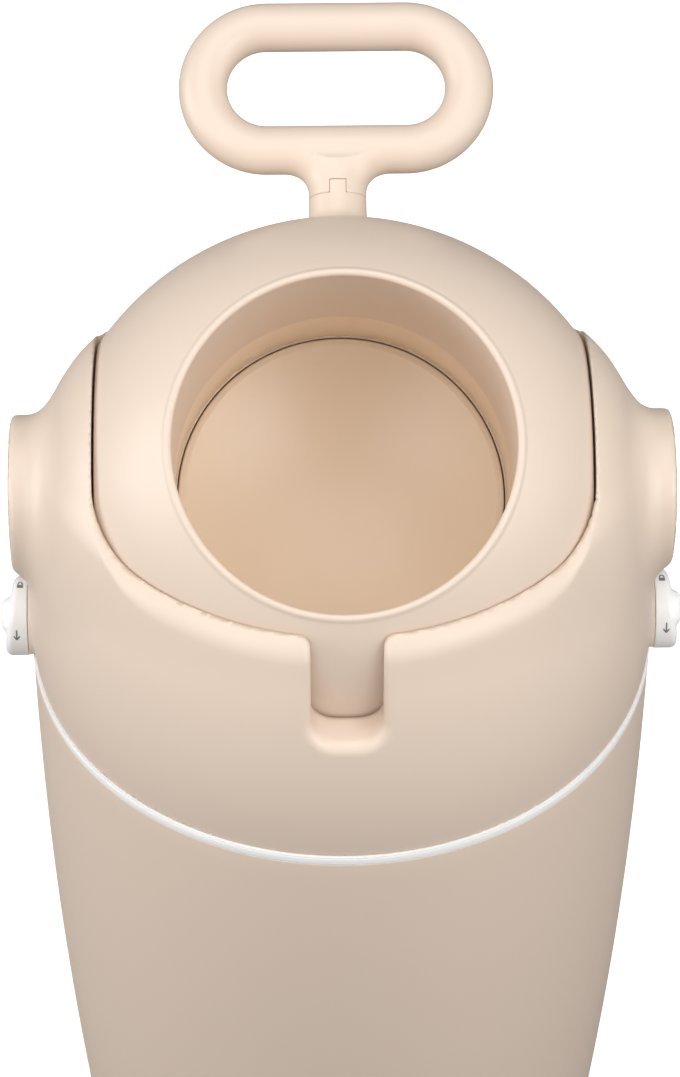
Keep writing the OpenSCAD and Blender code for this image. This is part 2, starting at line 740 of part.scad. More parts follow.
module lock_knob(side) {
    color(white) on_side(side) translate([knob_x, 0, lock_z]) along_x() difference() {
        union() {
            knob_dome(knob_r, knob_base_t, 4);
            intersection() {
                knob_dome(knob_r - grip_in, knob_grip_t, 6);
                rotate([0, 0, 90 - knob_tilt]) translate([-far / 2, -knob_grip_w / 2, 0])
                    cube([far, knob_grip_w, far]);
            }
            translate([0, 0, hook_x + hook_t - knob_x])
                cylinder(r = lock_shaft_r, h = knob_x - hook_x - hook_t + eps);
        }
        translate([0, 0, hook_x - knob_x]) cylinder(r = screw_r, h = 14);
    }
}

// The hook lies level at rest, pointing to the front, and swings down under the bucket's peg
module lock_hook(side) {
    finger_in = peg_throw + peg_d / 2 + face_gap;
    finger_out = finger_in + finger_w;
    finger_half = 20;    // degrees that the finger reaches each way
    arm_half = 7;
    arm_turn = 34;
    color(white) on_side(side) translate([hook_x, 0, lock_z]) rotate([90, 0, 90])
        linear_extrude(height = hook_t - fit_gap) difference() {
            union() {
                circle(r = lock_shaft_r + 3);
                intersection() {
                    difference() {
                        circle(r = finger_out);
                        circle(r = finger_in);
                    }
                    polygon([[0, 0], for (a = steps(180 - finger_half - arm_half - 14, 180 + finger_half, 6))
                        [far * cos(a), far * sin(a)]]);
                }
                rotate(180 - arm_turn) translate([0, -arm_half / 2])
                    square([finger_in + finger_w / 2, arm_half]);
            }
            circle(r = screw_r + fit_gap);
        }
}

module lock_screw(side) {
    color(steel) on_side(side) translate([hook_x, 0, lock_z]) along_x()
        screw(4, 2.2, screw_r - fit_gap / 2, 12);
}

bin_body();
bag_ring();
head_shell();
drop_chute();
chute_seal();
head_screws();
axle_bush(-1);  // axle_bush_left
axle_bush(1);  // axle_bush_right
hub_cap(-1);  // hub_cap_left
hub_cap(1);  // hub_cap_right
drum_shell(0);  // drum_shell_a
drum_shell(180);  // drum_shell_b
mouth_ring(0);  // mouth_ring_a
mouth_ring(180);  // mouth_ring_b
tube_sleeve();
drum_axle(-1);  // drum_axle_left
drum_axle(1);  // drum_axle_right
axle_screws();
axle_nuts();
drum_screws();
handle();
piston_cup(0);  // piston_cup_a
piston_cup(180);  // piston_cup_b
piston_seal(0);  // piston_seal_a
piston_seal(180);  // piston_seal_b
lock_knob(-1);  // lock_knob_left
lock_knob(1);  // lock_knob_right
lock_hook(-1);  // lock_hook_left
lock_hook(1);  // lock_hook_right
lock_screw(-1);  // lock_screw_left
lock_screw(1);  // lock_screw_right
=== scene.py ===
"""Looks of the flip-drum nappy bin.

A Blender add-on: the properties hold the sizes and finishes, each operator makes one piece or group of
pieces, and the panel in the 3D view's sidebar runs them one by one. Lengths in the code are millimetres
in the CAD frame, with Z up, the front towards -Y and the drum's axis along X; meshes are in metres.
"""

import json
import math

import bpy
import numpy as np
from bpy.props import FloatProperty, FloatVectorProperty, IntProperty, PointerProperty, StringProperty
from mathutils import Matrix, Vector

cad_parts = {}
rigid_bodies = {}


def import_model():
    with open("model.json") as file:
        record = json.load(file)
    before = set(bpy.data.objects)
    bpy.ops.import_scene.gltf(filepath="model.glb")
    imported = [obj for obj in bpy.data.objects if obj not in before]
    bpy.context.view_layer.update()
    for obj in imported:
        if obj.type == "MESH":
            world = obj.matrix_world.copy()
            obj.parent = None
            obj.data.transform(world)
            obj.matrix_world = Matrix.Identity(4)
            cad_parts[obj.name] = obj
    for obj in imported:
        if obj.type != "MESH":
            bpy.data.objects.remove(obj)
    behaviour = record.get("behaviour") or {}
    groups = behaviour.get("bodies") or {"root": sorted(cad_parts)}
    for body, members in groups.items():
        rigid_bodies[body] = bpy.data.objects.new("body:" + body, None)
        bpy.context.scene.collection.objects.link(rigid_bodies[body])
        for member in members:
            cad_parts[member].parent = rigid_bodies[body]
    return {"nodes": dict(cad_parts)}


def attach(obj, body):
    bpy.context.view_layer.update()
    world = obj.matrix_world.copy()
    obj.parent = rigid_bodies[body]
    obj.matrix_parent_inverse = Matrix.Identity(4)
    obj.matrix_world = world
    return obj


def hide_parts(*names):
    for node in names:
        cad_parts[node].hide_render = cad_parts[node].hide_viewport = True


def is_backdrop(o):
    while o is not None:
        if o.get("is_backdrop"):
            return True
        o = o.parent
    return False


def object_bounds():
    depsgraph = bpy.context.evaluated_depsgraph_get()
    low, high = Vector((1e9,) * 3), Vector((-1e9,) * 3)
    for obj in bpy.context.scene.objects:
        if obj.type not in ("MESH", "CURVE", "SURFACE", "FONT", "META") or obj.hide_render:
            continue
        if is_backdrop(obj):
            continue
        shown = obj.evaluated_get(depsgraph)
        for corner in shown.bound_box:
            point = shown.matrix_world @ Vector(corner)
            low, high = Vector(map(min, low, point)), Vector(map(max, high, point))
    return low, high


bl_info = {
    "name": "Nappy Bin Looks",
    "version": (1, 0, 0),
    "blender": (4, 5, 0),
    "location": "View3D > Sidebar > Nappy Bin",
    "description": "Shapes, finishes and stage of a flip-drum nappy bin",
    "category": "Object",
}

for start_object in list(bpy.data.objects):
    bpy.data.objects.remove(start_object)
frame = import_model()
cad_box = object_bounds()

MM = 0.001


# ---- Sizes -------------------------------------------------------------------------------------


def length(name, description, default):
    """A length in metres."""
    return FloatProperty(name=name, description=description, default=default, unit="LENGTH", precision=4)


def angle(name, description, degrees):
    """An angle, given in degrees."""
    return FloatProperty(name=name, description=description, default=math.radians(degrees), subtype="ANGLE")


def power(name, description, watts):
    """The power of a light."""
    return FloatProperty(name=name, description=description, default=watts, unit="POWER")


def colour(name, description, default):
    """A colour as an sRGB hex string."""
    return StringProperty(name=name, description=description, default=default)


class BucketSizes(bpy.types.PropertyGroup):
    """Sizes of the bucket."""

    height: length("Height", "Height of the rim above the floor", 0.418)
    radius: length("Radius", "Radius where the bucket is widest", 0.1735)
    belly: length("Belly", "Height at which the bucket is widest", 0.398)
    curve: length("Curve", "Radius of the long curve of the side", 4.130)
    wall: length("Wall", "Thickness of the wall and floor", 0.0028)
    ring: length("Ring", "Outer radius of the bag ring", 0.1734)
    foot_round: length("Foot rounding", "Rounding of the bottom edge", 0.012)
    recess: length("Recess", "Depth of the hollow under the bucket", 0.006)
    foot_width: length("Foot width", "Width of the foot ring", 0.016)
    pad: length("Pad", "Radius of the pad in the middle of the underside", 0.016)


class HeadSizes(bpy.types.PropertyGroup):
    """Sizes of the lift-off head."""

    axis: length("Axis", "Height of the drum's axis above the floor", 0.530)
    bottom: length("Bottom", "Height of the head's bottom edge above the floor", 0.4237)
    radius: length("Radius", "Radius where the head is widest", 0.174)
    belly: length("Belly", "How far below the axis the head is widest", 0.075)
    curve: length("Curve", "Radius of the side's curve", 0.270)
    wall: length("Wall", "Thickness of the wall at the bottom edge", 0.003)
    thicker: length("Thicker", "How much thicker the wall is above the bottom edge", 0.0025)
    rise: length("Rise", "Height of the window's lips above the axis", 0.034)
    lip: length("Lip rounding", "Rounding of the window's front and back lips", 0.013)
    lift: length("Lip lift", "How much the lips have risen a decimetre from the middle", 0.0022)
    corner: length("Corner", "Fillet of the window's corners", 0.020)
    band: length("Band", "Least thickness of the head round the window", 0.0062)
    edge: length("Edge", "Rounding of the edge along the seam", 0.0009)
    window: length("Window", "Half the width of the window", 0.1320)
    gap: length("Gap", "Gap between the barrel and the head", 0.0012)
    ear: length("Ear rounding", "Rounding of the ears' inner edges", 0.0006)
    blend: length("Blend", "Fillet between the dome and the ears", 0.018)
    slot: length("Slot", "Half the width of the handle's slots", 0.0188)
    slot_drop: length("Slot drop", "Depth of the slots below the axis", 0.0245)
    slot_corner: length("Slot corner", "Rounding of the slots' bottom corners", 0.013)
    slot_edge: length("Slot edge", "Rounding of the slots' outer edges", 0.0058)


class HubSizes(bpy.types.PropertyGroup):
    """Sizes of the two side hubs."""

    radius: length("Radius", "Outer radius of a hub", 0.042)
    end: length("End", "Distance of a hub's end face from the middle", 0.1790)
    shoulder: length("Shoulder", "Radius of the shoulder curve", 0.0515)
    shoulder_x: length("Shoulder X", "Distance of the shoulder curve's centre from the middle", 0.1041)
    shoulder_off: length("Shoulder off", "Height of the shoulder curve's centre off the axis", 0.0365)
    fillet: length("Fillet", "Fillet between shoulder and hub", 0.016)
    edge: length("Edge", "Rounding of the hub's end edge", 0.003)


class DrumSizes(bpy.types.PropertyGroup):
    """Sizes of the drum, its tube and its piston."""

    tilt: angle("Tilt", "Tilt of the handle above level at rest", 35)
    radius: length("Radius", "Radius of the barrel in the middle", 0.148)
    curve: length("Curve", "Radius of the barrel's outline", 0.1602)
    half_width: length("Half width", "Half the length of the barrel", 0.131)
    end_round: length("End rounding", "Rounding between the barrel and its flat ends", 0.0006)
    tube: length("Tube", "Inner radius of the tube", 0.0905)
    tube_wall: length("Tube wall", "Thickness of the tube's wall", 0.003)
    mouth: length("Mouth", "Inner radius of the lip at each mouth", 0.0892)
    lip: length("Lip", "Distance of the lip's inner face from the axis", 0.113)
    rim: length("Rim", "Width of the mouth's raised rim", 0.0048)
    proud: length("Proud", "How far the rim stands out of the barrel", 0.0005)
    sleeve: length("Sleeve", "Half the length of the middle sleeve", 0.023)
    piston_length: length("Piston length", "Length of the piston", 0.090)
    piston_gap: length("Piston gap", "Gap between the piston and the tube", 0.0007)
    dish: length("Dish", "Depth of the dish in each face of the piston", 0.022)


class HandleSizes(bpy.types.PropertyGroup):
    """Sizes of the handle and its stub."""

    width: length("Width", "Overall width of the loop", 0.175)
    height: length("Height", "Overall height of the loop", 0.098)
    bar: length("Bar", "Diameter of the loop's bar", 0.027)
    stem: length("Stem", "Diameter of the stem", 0.032)
    seam: length("Seam", "Distance of the seam between stub and handle from the axis", 0.163)
    start: length("Start", "Distance of the loop's near side from the axis", 0.178)
    flare: length("Flare", "Fillet between the stem and the loop", 0.012)
    tang: length("Tang", "Radius of the tang inside the stub", 0.011)
    key_width: length("Key width", "Width of the key in the seam", 0.009)
    key_height: length("Key height", "Height of the key in the seam", 0.0076)


class LockSizes(bpy.types.PropertyGroup):
    """Sizes of the two locks."""

    drop: length("Drop", "How far the locks' axis lies below the drum's", 0.095)
    base_x: length("Base X", "Distance of a knob's base from the middle", 0.1749)
    diameter: length("Diameter", "Diameter of a knob", 0.045)
    base: length("Base", "Thickness of a knob's base", 0.009)
    grip: length("Grip", "Height of a knob's grip", 0.0152)
    grip_width: length("Grip width", "Width of a knob's grip", 0.021)


class Finishes(bpy.types.PropertyGroup):
    """Colours of the materials and fineness of the surfaces."""

    beige: colour("Beige", "Colour of the moulded outside", "#E2CFBE")
    # Lighter than the outside beige: painted light for the light that fills the tube, on the sleeve, piston
    # and chute
    inner: colour("Inner beige", "Colour of the tube's sleeve, piston and chute", "#EEDAC2")
    white: colour("White", "Colour of the ring, locks and axles", "#FCFCFB")
    seal: colour("Seal", "Colour of the seals", "#B9B4AC")
    steel: colour("Steel", "Colour of the screws and nuts", "#B8BABD")
    mark: colour("Mark", "Colour of the marks on the knobs", "#7C7B7A")
    floor: colour("Floor", "Colour of the floor", "#FBFBFB")
    head_cell: length("Head cell", "Size of the cells that the head's surface is found in", 0.0024)
    handle_cell: length("Handle cell", "Size of the cells that the handle's surface is found in", 0.0012)
    knob_cell: length("Knob cell", "Size of the cells that a knob's surface is found in", 0.0007)
    around: IntProperty(
        name="Around", description="Facets around a revolved piece", default=256, min=48, max=512
    )


class Stage(bpy.types.PropertyGroup):
    """Camera, lights and floor."""

    distance: length("Distance", "Distance of the camera from the middle of the drum", 2.054)
    elevation: angle("Elevation", "Height of the camera above level", 43.4)
    turn: angle("Turn", "How far the camera stands to the left", 1.2)
    roll: angle("Roll", "Roll of the camera", 0.2)
    lens: FloatProperty(name="Lens", description="Focal length in millimetres", default=126.1)
    aim: FloatVectorProperty(
        name="Aim", description="Where the middle of the drum falls, in pixels of 680 by 1077", size=2,
        default=(341.5, 488.5),
    )
    top: power("Top", "Power of the light above", 20.0)
    left: power("Left", "Power of the light on the left", 30.0)
    right: power("Right", "Power of the light on the right", 12.0)
    front_left: power("Front left", "Power of the light in front on the left", 17.2)
    front_right: power("Front right", "Power of the light in front on the right", 28.0)
    sky: FloatProperty(name="Sky", description="Strength of the light all round", default=0.26)


GROUPS = {
    "nb_bucket": BucketSizes,
    "nb_head": HeadSizes,
    "nb_hub": HubSizes,
    "nb_drum": DrumSizes,
    "nb_handle": HandleSizes,
    "nb_lock": LockSizes,
    "nb_finish": Finishes,
    "nb_stage": Stage,
}


class Millimetres:
    """Reads a group's lengths in millimetres and its other values as they are."""

    def __init__(self, group):
        self.group = group

    def __getattr__(self, name):
        value, about = getattr(self.group, name), self.group.bl_rna.properties[name]
        return value / MM if getattr(about, "unit", "NONE") == "LENGTH" else value


def sizes(context, name):
    """The group of that name, in millimetres."""
    return Millimetres(getattr(context.scene, name))


# ---- Meshes ------------------------------------------------------------------------------------


def mesh_object(name, points, groups, sharp=30.0, normals=None):
    """A mesh of the points (n, 3) in millimetres and of groups of faces, each an array of vertex numbers
    with one row to a face. Edges sharper than the given angle stay sharp, unless it is given normals."""
    counts = np.concatenate([np.full(len(g), g.shape[1]) for g in groups])
    mesh = bpy.data.meshes.new(name)
    mesh.vertices.add(len(points))
    mesh.vertices.foreach_set("co", (np.asarray(points) * MM).astype(np.float32).ravel())
    mesh.loops.add(int(counts.sum()))
    mesh.loops.foreach_set("vertex_index", np.concatenate([g.ravel() for g in groups]).astype(np.int32))
    mesh.polygons.add(len(counts))
    starts = np.concatenate([[0], np.cumsum(counts)[:-1]])
    mesh.polygons.foreach_set("loop_start", starts.astype(np.int32))
    mesh.update(calc_edges=True)
    if mesh.validate():
        raise RuntimeError(f"{name}: the mesh had faults")
    mesh.shade_smooth()
    if normals is not None:
        mesh.normals_split_custom_set_from_vertices(np.asarray(normals, np.float32).tolist())
    elif sharp:
        mesh.set_sharp_from_angle(angle=math.radians(sharp))
    piece = bpy.data.objects.new(name, mesh)
    bpy.context.scene.collection.objects.link(piece)
    return piece


def grid_faces(rows, cols, wrap_rows, wrap_cols):
    """Quads of a grid whose vertices run along its rows, closed round in either direction."""
    i = np.arange(rows if wrap_rows else rows - 1)[:, None]
    j = np.arange(cols if wrap_cols else cols - 1)[None, :]
    i1, j1 = (i + 1) % rows, (j + 1) % cols
    return np.stack([i * cols + j, i * cols + j1, i1 * cols + j1, i1 * cols + j], -1).reshape(-1, 4)


def closed_strip(rows, cols):
    """Faces of a grid whose rows are closed loops, with a flat face over the first and over the last row."""
    loop = np.arange(cols)
    return [grid_faces(rows, cols, False, True), loop[None, ::-1], (loop + (rows - 1) * cols)[None, :]]


def turned_over(groups):
    """The faces, each with its corners in the opposite order."""
    return [g[:, ::-1] for g in groups]


def outward(points, groups):
    """The points and faces, which are turned over when the volume inside them comes out negative."""
    volume = 0.0
    for g in groups:
        p = points[g]
        for k in range(1, g.shape[1] - 1):
            volume += np.einsum("ij,ij->i", p[:, 0], np.cross(p[:, k], p[:, k + 1])).sum()
    return points, turned_over(groups) if volume < 0 else groups


def revolve(profile, around):
    """Points and faces of a profile turned once round Z.

    Row i, column j is (r_j cos a_i, r_j sin a_i, z_j). A profile that starts and ends on the axis gets
    one vertex at each pole; any other profile is a loop, closed from its last point to its first.
    """
    profile = np.asarray(profile, float)
    poles = profile[0, 0] == 0 and profile[-1, 0] == 0
    a = np.linspace(0, 2 * np.pi, around, endpoint=False)[:, None]
    ring = profile[1:-1] if poles else profile
    r, z = ring[None, :, 0], ring[None, :, 1]
    points = np.stack([r * np.cos(a), r * np.sin(a), z + 0 * a], -1).reshape(-1, 3)
    groups = [grid_faces(around, len(ring), True, not poles)]
    if poles:
        n, cols = len(points), len(ring)
        points = np.vstack([points, [0, 0, profile[0, 1]], [0, 0, profile[-1, 1]]])
        i = np.arange(around)
        i1 = (i + 1) % around
        groups.append(np.stack([np.full(around, n), i * cols, i1 * cols], -1))
        groups.append(np.stack([np.full(around, n + 1), i1 * cols + cols - 1, i * cols + cols - 1], -1))
    return outward(points, groups)


def rounded(corners, steps=5):
    """A profile of straight lines whose corners are (x, y, radius), each rounded by an arc.

    The arc of a corner touches both lines at radius * tan(turn / 2) from it. Corners with radius 0 stay.
    """
    c = np.asarray(corners, float)
    out = []
    for i, (x, y, r) in enumerate(c):
        p = np.array([x, y])
        if r == 0 or i in (0, len(c) - 1) and c[0, 0] == 0:
            out.append(p[None])
            continue
        u = c[i - 1, :2] - p
        v = c[(i + 1) % len(c), :2] - p
        lu, lv = np.hypot(*u), np.hypot(*v)
        u, v = u / lu, v / lv
        half = math.acos(np.clip(u @ v, -1, 1)) / 2
        reach = min(r / math.tan(half), 0.49 * lu, 0.49 * lv)
        r = reach * math.tan(half)
        middle = p + (u + v) / np.hypot(*(u + v)) * r / math.sin(half)
        a0 = math.atan2(*(p + u * reach - middle)[::-1])
        a1 = math.atan2(*(p + v * reach - middle)[::-1])
        turn = (a1 - a0 + math.pi) % (2 * math.pi) - math.pi
        a = a0 + turn * np.linspace(0, 1, steps + 1)
        out.append(middle + r * np.stack([np.cos(a), np.sin(a)], -1))
    return np.vstack(out)


def dense(profile, longest):
    """The profile with points added so that no step is longer than the given one."""
    profile = np.asarray(profile, float)
    out = [profile[:1]]
    for a, b in zip(profile[:-1], profile[1:]):
        n = max(1, math.ceil(np.hypot(*(b - a)) / longest))
        out.append(a + (b - a) * np.arange(1, n + 1)[:, None] / n)
    return np.vstack(out)


def joined(parts):
    """Points and faces of several surfaces as one."""
    points, groups, first = [], [], 0
    for p, g in parts:
        points.append(p)
        groups += [f + first for f in g]
        first += len(p)
    return np.vstack(points), groups


def along_x(points, side):
    """Turns points made round Z so that their axis is X, on the left (-1) or the right (1)."""
    x, y, z = points.T
    return np.stack([side * z, y, -x * side], -1)


def shifted(points, z, x=0.0):
    """The points, moved up and sideways."""
    return points + np.array([x, 0.0, z])


def in_drum(points, context):
    """Points of the drum's own frame, with Z along the mouth and Y along the handle, put in place."""
    t = context.scene.nb_drum.tilt
    x, y, z = points.T
    c, s = math.cos(t), math.sin(t)
    return np.stack([x, y * c - z * s, y * s + z * c + context.scene.nb_head.axis / MM], -1)


# ---- Surfaces from fields ----------------------------------------------------------------------


def round_min(a, b, r):
    """Union of two distance fields with a fillet of radius r where they meet."""
    return np.maximum(np.minimum(a, b), r) - np.hypot(np.maximum(r - a, 0), np.maximum(r - b, 0))


def round_max(a, b, r):
    """Intersection of two distance fields with its edge rounded to radius r."""
    return -round_min(-a, -b, r)


FINE, SOFT = 0.02, 0.12  # Half-widths of the gradient's differences: at a cut, and for smooth normals
HALVINGS = 9  # Of a cut edge, which finds the cut to 1/512 of a cell
SLACK = 0.03  # Pull of a vertex to the mean of its cuts, against 1 to each tangent plane
REACH, STRIDE = 0.8, 0.6  # In cells: how far a vertex may leave its own, and its longest Newton step


def patch_table():
    """For each of the 256 patterns of inside corners of a cell: which patch of surface each of its 12
    edges belongs to, and how many patches there are. Inside corners that touch on a face are joined."""
    edges = [(a, a | 1 << k) for k in range(3) for a in range(8) if not a >> k & 1]
    patch, count = np.zeros((256, 12), int), np.zeros(256, int)
    for pattern in range(256):
        inside = [pattern >> c & 1 for c in range(8)]
        group = {k: k for k, (a, b) in enumerate(edges) if inside[a] != inside[b]}
        for axis in range(3):
            for side in (0, 1):
                face = [c for c in range(8) if (c >> axis & 1) == side]
                on = [k for k in group if edges[k][0] in face and edges[k][1] in face]
                pairs = [on]
                if len(on) == 4:
                    pairs = [[k for k in on if c in edges[k]] for c in face if not inside[c]]
                for pair in pairs if on else []:
                    low, high = sorted(group[k] for k in pair)
                    group = {k: low if g == high else g for k, g in group.items()}
        labels = sorted(set(group.values()))
        count[pattern] = len(labels)
        for k, g in group.items():
            patch[pattern, k] = labels.index(g)
    return patch, count


def sampled(field, axes):
    """The field at every point of the grid of the three axes, in slabs of a few hundred thousand points."""
    n = [len(a) for a in axes]
    value = np.empty(n)
    plane = np.stack(np.meshgrid(axes[1], axes[2], indexing="ij"), -1).reshape(-1, 2)
    slab = max(1, 400000 // len(plane))
    for i in range(0, n[0], slab):
        xs = axes[0][i : i + slab]
        p = np.empty((len(xs), len(plane), 3))
        p[..., 0], p[..., 1:] = xs[:, None], plane[None]
        value[i : i + slab] = field(p.reshape(-1, 3)).reshape(len(xs), n[1], n[2])
    return value


def cut_edges(field, near, axis, cell, inside):
    """The surface's cut on each grid edge from near along the axis, by halving, and its unit normal."""
    cut = near.copy()
    a, b = cut[:, axis].copy(), cut[:, axis] + cell
    for _ in range(HALVINGS):
        cut[:, axis] = (a + b) / 2
        same = (field(cut) < 0) == inside
        a, b = np.where(same, cut[:, axis], a), np.where(same, b, cut[:, axis])
    g = gradient(field, cut, FINE)
    return cut, g / np.maximum(np.linalg.norm(g, axis=1, keepdims=True), 1e-9)


def settled(field, points, longest):
    """The points after four Newton steps p - f g / |g|^2, none longer than the given length."""
    for _ in range(4):
        f, g = field(points), gradient(field, points, FINE)
        step = f[:, None] * g / np.maximum((g * g).sum(1), 0.05)[:, None]
        size = np.linalg.norm(step, axis=1, keepdims=True)
        points = points - step * np.minimum(1, longest / np.maximum(size, 1e-9))
    return points


def field_surface(field, low, high, cell, through):
    """Closed surface where field(points) is zero, as points, quads and outward normals.

    The box is cut into cells, whose planes pass through the given point. An edge of the grid that the
    surface cuts gives one quad, between the four cells round it, and each separate patch of surface in a
    cell gives one vertex. The cuts are found by halving. The vertex lies nearest to the tangent planes at
    its cuts, sum of (n . (p - cut))^2 with a little of |p - mean|^2, so that it falls on an edge of the
    shape, and Newton steps then set it on the surface. The normals are the field's gradient g.
    """
    low, high = np.asarray(low, float), np.asarray(high, float)
    start = low - (low - np.asarray(through)) % cell
    n = np.ceil((high - start) / cell).astype(int) + 1
    value = sampled(field, [start[k] + cell * np.arange(n[k]) for k in range(3)])
    inside = value < 0
    patch, count = patch_table()
    m = n - 1
    pattern = np.zeros(m, np.int64)
    for c in range(8):
        dx, dy, dz = c & 1, c >> 1 & 1, c >> 2 & 1
        pattern += inside[dx : m[0] + dx, dy : m[1] + dy, dz : m[2] + dz].astype(np.int64) << c
    per_cell = count[pattern]
    first = np.concatenate([[0], np.cumsum(per_cell.ravel())])[:-1].reshape(m)
    total = int(per_cell.sum())
    # Sums over each vertex's cuts: their number, places, normals n, matrices n n^T and pulls n (n . cut)
    hits, places, facing = np.zeros(total), np.zeros((total, 3)), np.zeros((total, 3))
    planes, pulls, quads = np.zeros((total, 9)), np.zeros((total, 3)), []
    for axis in range(3):
        u, v = (axis + 1) % 3, (axis + 2) % 3
        a = np.take(inside, np.arange(m[axis]), axis)
        b = np.take(inside, np.arange(1, n[axis]), axis)
        at = np.argwhere(a != b)
        at = at[(at[:, u] > 0) & (at[:, u] < m[u]) & (at[:, v] > 0) & (at[:, v] < m[v])]
        starts_inside = inside[tuple(at.T)]
        cut, g = cut_edges(field, start + cell * at, axis, cell, starts_inside)
        matrix = (g[:, :, None] * g[:, None, :]).reshape(-1, 9)
        pull = g * (g * cut).sum(1, keepdims=True)
        corners = []
        for du, dv in ((1, 1), (0, 1), (0, 0), (1, 0)):
            home = at.copy()
            home[:, u] -= du
            home[:, v] -= dv
            corner = (du << u) + (dv << v)
            edge = axis * 4 + [c for c in range(8) if not c >> axis & 1].index(corner)
            spot = tuple(home.T)
            vertex = first[spot] + patch[pattern[spot], edge]
            hits += np.bincount(vertex, minlength=total)
            for sums, values in ((places, cut), (pulls, pull), (facing, g), (planes, matrix)):
                for k in range(values.shape[1]):
                    sums[:, k] += np.bincount(vertex, values[:, k], total)
            corners.append(vertex)
        quad = np.stack(corners, -1)
        quad[~starts_inside] = quad[~starts_inside][:, ::-1]
        quads.append(quad)
    mean = places / np.maximum(hits, 1)[:, None]
    slack = SLACK * np.maximum(hits, 1)[:, None]
    system = planes.reshape(-1, 3, 3) + slack[:, :, None] * np.eye(3)
    points = np.linalg.solve(system, (pulls + slack * mean)[:, :, None])[:, :, 0]
    home = start + cell * np.repeat(np.argwhere(per_cell > 0), per_cell[per_cell > 0], axis=0)
    points = np.clip(points, home - REACH * cell, home + (1 + REACH) * cell)
    points = settled(field, points, STRIDE * cell)
    g = gradient(field, points, SOFT)
    # A vertex that crossed a thin wall faces the other way, and goes back to the mean of its cuts
    lost = (g * facing).sum(1) < 0.3 * np.linalg.norm(g, axis=1) * np.linalg.norm(facing, axis=1)
    points[lost], g[lost] = mean[lost], facing[lost]
    return points, [np.vstack(quads)], g / np.maximum(np.linalg.norm(g, axis=1, keepdims=True), 1e-9)


def gradient(field, points, h):
    """Gradient of the field by central differences of half-width h."""
    out = np.empty_like(points)
    for k in range(3):
        d = np.zeros(3)
        d[k] = h
        out[:, k] = (field(points + d) - field(points - d)) / (2 * h)
    return out


# ---- Materials ---------------------------------------------------------------------------------


def linear(code):
    """The linear colour, with alpha, of an sRGB hex code."""
    s = np.array([int(code[i : i + 2], 16) for i in (1, 3, 5)]) / 255
    return (*np.where(s <= 0.04045, s / 12.92, ((s + 0.055) / 1.055) ** 2.4).tolist(), 1.0)


def add_node(tree, kind, inputs=None, **settings):
    """A node of that kind with its settings, and its inputs set to values or joined to sockets."""
    node = tree.nodes.new(kind)
    for key, value in settings.items():
        setattr(node, key, value)
    for key, value in (inputs or {}).items():
        if isinstance(value, bpy.types.NodeSocket):
            tree.links.new(value, node.inputs[key])
        else:
            node.inputs[key].default_value = value
    return node


def emptied_tree(owner):
    """The node tree of a material or world, with nothing in it."""
    owner.use_nodes = True
    owner.node_tree.nodes.clear()
    return owner.node_tree


def moulded_plastic(name, code, roughness, grain_mm, depth_mm, tint, soft):
    """Satin injection-moulded plastic: one colour through and through, with the fine spark-eroded grain of
    the mould, which breaks up the highlight, and a slow drift of gloss where the surface cooled unevenly."""
    drift_mm, drift_gloss = 70, 0.03
    material = bpy.data.materials.new(name)
    tree = emptied_tree(material)
    place = add_node(tree, "ShaderNodeTexCoord").outputs["Object"]
    # Grain of the mould, drawn coarser than it is so that it still softens the highlight's edge
    noise = {"Vector": place, "Scale": 1 / (grain_mm * MM), "Detail": 2.0}
    grain = add_node(tree, "ShaderNodeTexNoise", noise)
    # Slow drift over a hand's width, seen as a gloss that is never quite even
    noise = {"Vector": place, "Scale": 1 / (drift_mm * MM), "Detail": 3.0}
    drift = add_node(tree, "ShaderNodeTexNoise", noise)
    bump = add_node(
        tree, "ShaderNodeBump",
        {"Height": grain.outputs["Fac"], "Strength": 0.35, "Distance": depth_mm * MM},
    )
    gloss = add_node(
        tree, "ShaderNodeMapRange",
        {"Value": drift.outputs["Fac"], "From Min": 0.3, "From Max": 0.7,
         "To Min": roughness - drift_gloss, "To Max": roughness + drift_gloss},
    )
    base = linear(code)
    deeper = tuple(c * (1 - tint) for c in base[:3]) + (1.0,)
    paint = add_node(tree, "ShaderNodeMix", {"Factor": drift.outputs["Fac"]}, data_type="RGBA")
    paint.inputs["A"].default_value, paint.inputs["B"].default_value = base, deeper
    skin = add_node(
        tree, "ShaderNodeBsdfPrincipled",
        {"Base Color": paint.outputs["Result"], "Roughness": gloss.outputs["Result"], "IOR": 1.5,
         "Normal": bump.outputs["Normal"], "Subsurface Weight": soft, "Subsurface Scale": 0.002},
    )
    add_node(tree, "ShaderNodeOutputMaterial", {"Surface": skin.outputs["BSDF"]})
    return material


def plated_steel(name, code):
    """Zinc-plated steel: a metal whose shine is broken up a little by the crystals of the plating."""
    crystal_mm = 0.6
    material = bpy.data.materials.new(name)
    tree = emptied_tree(material)
    place = add_node(tree, "ShaderNodeTexCoord").outputs["Object"]
    # Crystals of the plating, seen as a slight unevenness of the shine
    noise = {"Vector": place, "Scale": 1 / (crystal_mm * MM), "Detail": 2.0}
    marks = add_node(tree, "ShaderNodeTexNoise", noise)
    gloss = add_node(
        tree, "ShaderNodeMapRange", {"Value": marks.outputs["Fac"], "To Min": 0.24, "To Max": 0.42}
    )
    skin = add_node(
        tree, "ShaderNodeBsdfPrincipled",
        {"Base Color": linear(code), "Metallic": 1.0, "Roughness": gloss.outputs["Result"]},
    )
    add_node(tree, "ShaderNodeOutputMaterial", {"Surface": skin.outputs["BSDF"]})
    return material


